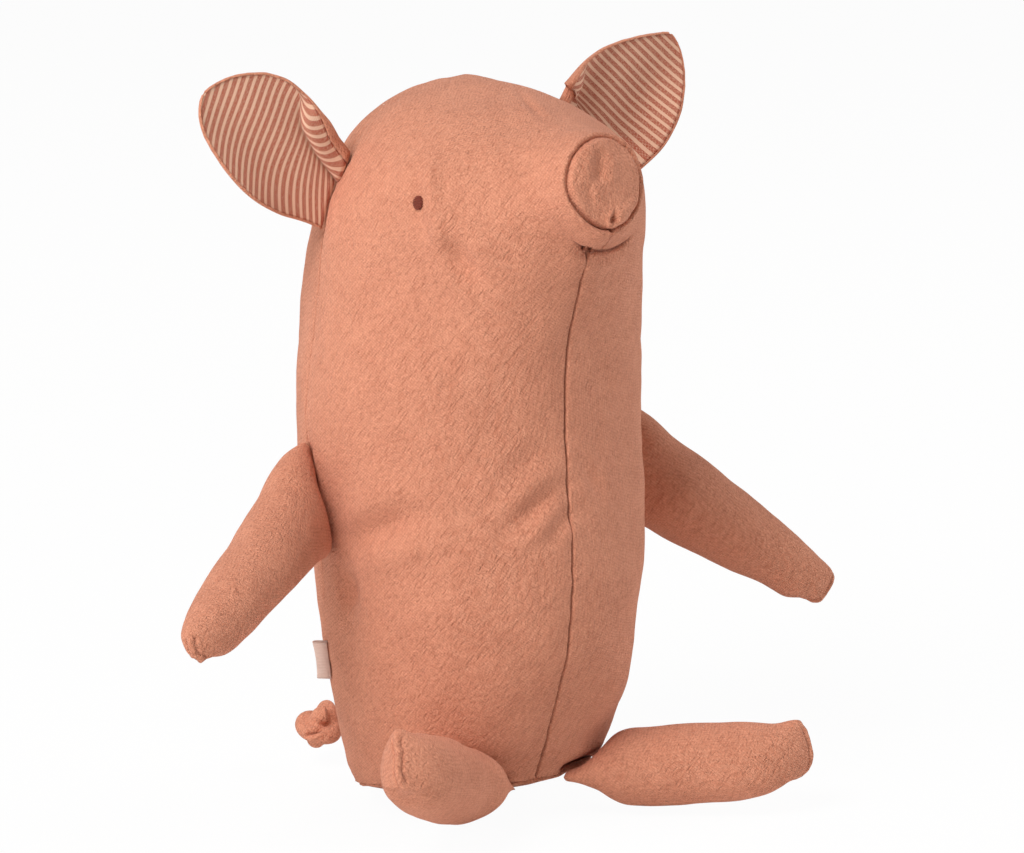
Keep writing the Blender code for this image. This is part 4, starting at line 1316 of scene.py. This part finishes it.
def outline_at(table, share, column):
    """A smooth value between the table's points. Each row holds a share of the length and its two half widths."""
    index = min(max(sum(share >= row[0] for row in table) - 1, 0), len(table) - 2)
    before, low, high, after = (table[min(max(index + step, 0), len(table) - 1)][column] for step in (-1, 0, 1, 2))
    t = (share - table[index][0]) / (table[index + 1][0] - table[index][0])
    rise, fall = (high - before) / 2, (after - low) / 2
    return (
        (2 * t**3 - 3 * t**2 + 1) * low + (t**3 - 2 * t**2 + t) * rise
        + (3 * t**2 - 2 * t**3) * high + (t**3 - t**2) * fall
    )


class EarShape:
    """Where an ear's cloth lies. Its place and size come from the frame's joint and lining."""

    def __init__(self, name):
        self.outline, self.skew = EAR_OUTLINES[name], STRIPE_SKEWS[name]
        self.root, self.line = joint_line(f"{name}_flap")
        tip = max((vert.co for vert in nodes[f"{name}_lining"].data.vertices), key=lambda p: (p - self.root).length)
        self.length = (tip - self.root).length
        self.heading = (tip - self.root).normalized()
        self.facing = self.line.cross(self.heading).normalized()
        if self.facing.dot(FORWARD) < 0:
            self.facing = -self.facing
        self.square = self.facing.cross(self.heading).normalized()
        if self.square.dot(self.line) < 0:
            self.square = -self.square

    def place(self, share, across, lift):
        """The point at a share of the length, at a distance across the middle line, lifted towards the front."""
        line = self.line.lerp(self.square, soft_step(share / EAR_SQUARE_SHARE)).normalized()
        cup = EAR_CUP * (across / EAR_UPPER) ** 2 * math.sqrt(math.sin(math.pi * min(max(share, 0.05), 0.98)))
        fold = EAR_FOLD * math.sin(across / EAR_FOLD_WIDTH) * math.sin(math.pi * min(max(share, 0), 1))
        return self.root + self.heading * self.length * share + line * across + self.facing * (cup + fold + lift)

    def edges(self, share):
        """Lower and upper edge, the seams behind them, the crease, and how much of the pleat is left."""
        lower = -EAR_LOWER * outline_at(self.outline, share, 1)
        upper = EAR_UPPER * outline_at(self.outline, share, 2)
        band, pleat = (1 - soft_step((share - start) / (end - start)) for start, end in (BAND_SHARES, STRIP_SHARES))
        rim = min(EAR_RIM, upper / 3, -lower / 3)
        upper_seam = upper - rim - PLEAT_BAND * band
        crease = upper_seam - CREASE_GAP - PLEAT_STRIP * pleat
        return lower, lower + rim, crease, upper_seam, upper, pleat

    def lining(self, share, part):
        """Part runs from 0 at the lower seam to 1 at the upper one."""
        _, lower_seam, crease, upper_seam, _, pleat = self.edges(share)
        if part <= FLAT_PART:
            run = part / FLAT_PART
            dive = PLEAT_DIVE * pleat * soft_step((run - PLEAT_DIVE_START) / (1 - PLEAT_DIVE_START))
            return self.place(share, lower_seam + (crease - lower_seam) * run, EAR_LAYER - dive)
        run = (part - FLAT_PART) / (1 - FLAT_PART)
        bulge = PLEAT_BULGE * pleat * math.sin(math.pi * run) ** 0.7
        across = crease + (upper_seam - crease) * run - bulge
        rise = PLEAT_RISE * pleat * math.sin(math.pi / 2 * min(1, run * 1.25)) ** 0.8
        return self.place(share, across, EAR_LAYER + rise)

    def outer(self, share, part):
        """Part runs from the lower seam in front, round the back, to the upper seam in front."""
        lower, lower_seam, _, upper_seam, upper, pleat = self.edges(share)
        if part < LOWER_TURN:
            turn = math.pi / 2 * (1 - 2 * part / LOWER_TURN)
            across, half_lift = lower_seam - (lower_seam - lower) * math.cos(turn), EAR_LAYER / 2
        elif part <= 1 - UPPER_TURN:
            run = (part - LOWER_TURN) / (1 - LOWER_TURN - UPPER_TURN)
            return self.place(share, lower_seam + (upper_seam - lower_seam) * run, 0)
        else:
            turn = math.pi * ((part - 1) / UPPER_TURN + 0.5)
            across, half_lift = upper_seam + (upper - upper_seam) * math.cos(turn), (EAR_LAYER + PLEAT_RISE * pleat) / 2
        return self.place(share, across, half_lift * (1 + math.sin(turn)))


def build_ear_layer(name, layer, shape, material):
    """A grid of cloth, laid by the ear's formula, with a UV map in metres."""
    bm = bmesh.new()
    bmesh.ops.create_grid(bm, x_segments=EAR_ACROSS, y_segments=EAR_ALONG, size=1, calc_uvs=False)
    bm.verts.index_update()
    shade = bm.verts.layers.float.new(PAINTED_SEAM_SHADE)
    first, last = shape.outline[0][0], shape.outline[-1][0]
    rule = getattr(shape, layer)
    flat = []
    for vert in bm.verts:
        part = (vert.co.x + 1) / 2
        share = first + (last - first) * math.sin(math.pi / 4 * (vert.co.y + 1))
        _, lower_seam, crease, _, _, pleat = shape.edges(share)
        side, run, skew = lower_seam + (crease - lower_seam) * part / FLAT_PART, share * shape.length, shape.skew
        if part > FLAT_PART and pleat > 0:
            side, skew = STRIP_CLOTH * (part - FLAT_PART) / (1 - FLAT_PART), STRIP_SKEW
        across = side * math.cos(skew) + run * math.sin(skew) + EAR_LOWER
        flat.append((across, run * math.cos(skew) - side * math.sin(skew) + EAR_UPPER))
        vert.co = rule(share, part)
        # Painted shade: the lining is marked darker along the crease of the pleat.
        if layer == "lining":
            vert[shade] = pleat * bell((part - FLAT_PART) / PAINTED_CREASE_SHADE_SHARE)
    bm.normal_update()
    middle = min(bm.faces, key=lambda face: (face.calc_center_median() - shape.place(0.5, 0, 0)).length)
    if (middle.normal.dot(shape.facing) > 0) != (layer == "lining"):
        bmesh.ops.reverse_faces(bm, faces=bm.faces)
    return cloth_sheet(f"{name}_{layer}_cloth", bm, flat, material, EAR_CLOTH, -1 if layer == "lining" else 1)


for name in ("ear_left", "ear_right"):
    shape = EarShape(name)
    for layer, material, slot in (("outer", linen, "linen"), ("lining", lining, "lining")):
        piece, area = build_ear_layer(name, layer, shape, material)
        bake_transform(piece)
        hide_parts(f"{name}_{layer}")
        print(f"{name} {layer}: {area / MM**2:.0f} square mm of cloth")

# %% [markdown]
# ## Tail
#
# The tail is a narrow cloth tube tied in one overhand knot. A knot can't be faked by a bead: its strand goes over
# and under itself. The path is a trefoil opened at one place, as in the frame's solid, with a fatter, softer tube
# whose strands press on each other, remeshed into one skin.

# %% Tail
TAIL_TUBE, TAIL_STRAP_TUBE = 3.1 * MM, 2.4 * MM
TAIL_TURN, TAIL_DROP = math.radians(46), math.radians(27.5)
TAIL_BEND_SHARE = 0.3
TAIL_HINGE_REACH = 2.5 * MM
KNOT_DISTANCE = 33.5 * MM
KNOT_LOOP, KNOT_STRAND, KNOT_HALF_DEPTH = 5.0 * MM, 2.3 * MM, 4.0 * MM
KNOT_OPENING_SHARE = 0.06
KNOT_STEPS, STRAP_STEPS = 64, 14
TAIL_VOXEL = 0.55 * MM
KNOT_FOLD = ((304, 737), (313, 733), (324, 729))


def tail_path():
    root = joint_line("tail_sway")[0] - BACKWARD * TAIL_HINGE_REACH
    level = BACKWARD * math.cos(TAIL_TURN) + RIGHT * math.sin(TAIL_TURN)
    heading = level * math.cos(TAIL_DROP) - UP * math.sin(TAIL_DROP)
    across = heading.cross(UP).normalized()
    turn = Matrix((-heading, across, heading.cross(across))).transposed()
    knot = []
    for step in range(KNOT_STEPS + 1):
        angle = math.tau * (KNOT_OPENING_SHARE + (1 - 2 * KNOT_OPENING_SHARE) * step / KNOT_STEPS)
        reach = KNOT_LOOP + KNOT_STRAND * math.cos(3 * angle)
        side, height = reach * math.cos(2 * angle), reach * math.sin(2 * angle)
        point = Vector((side, height, KNOT_HALF_DEPTH * math.sin(3 * angle)))
        knot.append(root + heading * KNOT_DISTANCE + turn @ point)
    reach = KNOT_DISTANCE * TAIL_BEND_SHARE
    into_knot = (knot[1] - knot[0]).normalized()
    strap = interpolate_bezier(root, root + BACKWARD * reach, knot[0] - into_knot * reach, knot[0], STRAP_STEPS)
    return root, [root - BACKWARD * 3 * MM, *strap[:-1], *knot]


def tube_along(path):
    """A tube round the path, thinner along the strap than in the knot."""
    curve = bpy.data.curves.new("tail_path", "CURVE")
    curve.dimensions = "3D"
    curve.bevel_depth = TAIL_TUBE
    curve.bevel_resolution = 4
    curve.use_fill_caps = True
    spline = curve.splines.new("POLY")
    spline.points.add(len(path) - 1)
    for index, (point, place) in enumerate(zip(spline.points, path)):
        point.co = (*place, 1)
        point.radius = TAIL_STRAP_TUBE / TAIL_TUBE if index < STRAP_STEPS else 1
    guide = bpy.data.objects.new("tail_guide", curve)
    bpy.context.scene.collection.objects.link(guide)
    mesh = bpy.data.meshes.new_from_object(guide.evaluated_get(bpy.context.evaluated_depsgraph_get()))
    bpy.data.objects.remove(guide)
    bm = bmesh.new()
    bm.from_mesh(mesh)
    bmesh.ops.remove_doubles(bm, verts=bm.verts, dist=WELD)
    return bm


tail_root, path = tail_path()
tail = new_piece("tail_knot", tube_along(path), linen)
remesh(tail, TAIL_VOXEL)
smooth(tail, 4)
subdivide(tail, 1)
smooth(tail, 6)
knot_fold = smoothed_path(seen_at(surface_of(tail), *KNOT_FOLD))
# Painted shade darkens the fold of the knot.
press(tail, knot_fold, 0.8 * MM, 1.6 * MM, shoulder=0.3, fade=0.25, shade=0.7)
tail_root - BACKWARD * 1 * MM
tail_root + BACKWARD * 8 * MM
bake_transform(tail)
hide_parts("tail")
print(f"tail: {len(tail.data.polygons)} faces")

# %% [markdown]
# ## Side tab
#
# A short loop of pale woven ribbon is sewn into the side seam. It is bare: nothing is printed on it. The loop is a
# strip bent round one edge, with the fine cross ribs of a grosgrain ribbon in its material.

# %% Side tab
TAB_WIDTH, TAB_LENGTH = 13 * MM, 3.0 * MM
TAB_BEND, TAB_SINK, TAB_SAG = 0.9 * MM, 2.5 * MM, 0.5 * MM
TAB_THICKNESS = 0.4 * MM
BEND_STEPS, TAB_COLUMNS = 8, 12
RIBBON_PALE, RIBBON_SHADE = (0.88, 0.66, 0.57, 1), (0.72, 0.48, 0.39, 1)
RIB_PITCH = 0.55 * MM


def build_ribbon():
    material, tree, shader = new_material("ribbon", 0.7, sheen=0.1, specular=0.3)
    flat = node(tree, "ShaderNodeUVMap", {"uv_map": UV_NAME})
    along, across, _ = axes(tree, flat)
    ribs, threads = (across / RIB_PITCH).wave(), (along / (RIB_PITCH * 0.6)).wave()
    fuzz = noise_at(tree, flat, 900.0, 2.0, 0.6)
    colour = blend_colours(tree, mixed((1 - ribs, 0.35), (fuzz, 0.25)), RIBBON_PALE, RIBBON_SHADE)
    set_surface(tree, shader, colour, 0.8 - ribs * 0.15, mixed((ribs, 0.8), (threads, 0.2), (fuzz, 0.3)), 0.00018)
    return material


def build_tab(material):
    root, line = joint_line("side_tab_flap")
    far = max((vert.co for vert in nodes["side_tab"].data.vertices), key=lambda place: (place - root).length)
    heading = far - root
    heading = (heading - line * heading.dot(line)).normalized()
    across = heading.cross(line).normalized()
    straight = TAB_LENGTH - TAB_BEND
    front, back = across * TAB_BEND, -across * TAB_BEND
    profile = [front - heading * TAB_SINK, front + heading * straight * 0.5]
    for step in range(BEND_STEPS + 1):
        turn = math.pi * (0.5 - step / BEND_STEPS)
        profile.append(heading * straight + (heading * math.cos(turn) + across * math.sin(turn)) * TAB_BEND)
    profile += [back + heading * straight * 0.5, back - heading * TAB_SINK]
    lengths = [0.0]
    for first, second in zip(profile[:-1], profile[1:]):
        lengths.append(lengths[-1] + (second - first).length)
    bm = bmesh.new()
    bmesh.ops.create_grid(bm, x_segments=len(profile) - 1, y_segments=TAB_COLUMNS, size=1)
    bm.verts.index_update()
    flat = []
    for vert in bm.verts:
        step = round((vert.co.x + 1) / 2 * (len(profile) - 1))
        share = vert.co.y
        drop = heading * TAB_SAG * (1 - share**2) * max(profile[step].dot(heading), 0) / TAB_LENGTH
        flat.append((lengths[step], share * TAB_WIDTH / 2))
        vert.co = root + line * share * TAB_WIDTH / 2 + profile[step] - drop
    piece, area = cloth_sheet("side_tab_ribbon", bm, flat, material, TAB_THICKNESS, 0)
    return piece, (TAB_WIDTH, lengths[-1]), area


tab, tab_cut, tab_area = build_tab(build_ribbon())
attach(tab, "side_tab")
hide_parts("side_tab")
min(tab_area, tab_cut[0] * tab_cut[1])
print(f"side tab: ribbon {tab_cut[0] / MM:.1f} by {tab_cut[1] / MM:.1f} mm")

# %% The last lines
size = {"cad": [list(cad_low), list(cad_high)], "visual": [list(corner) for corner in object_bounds()]}
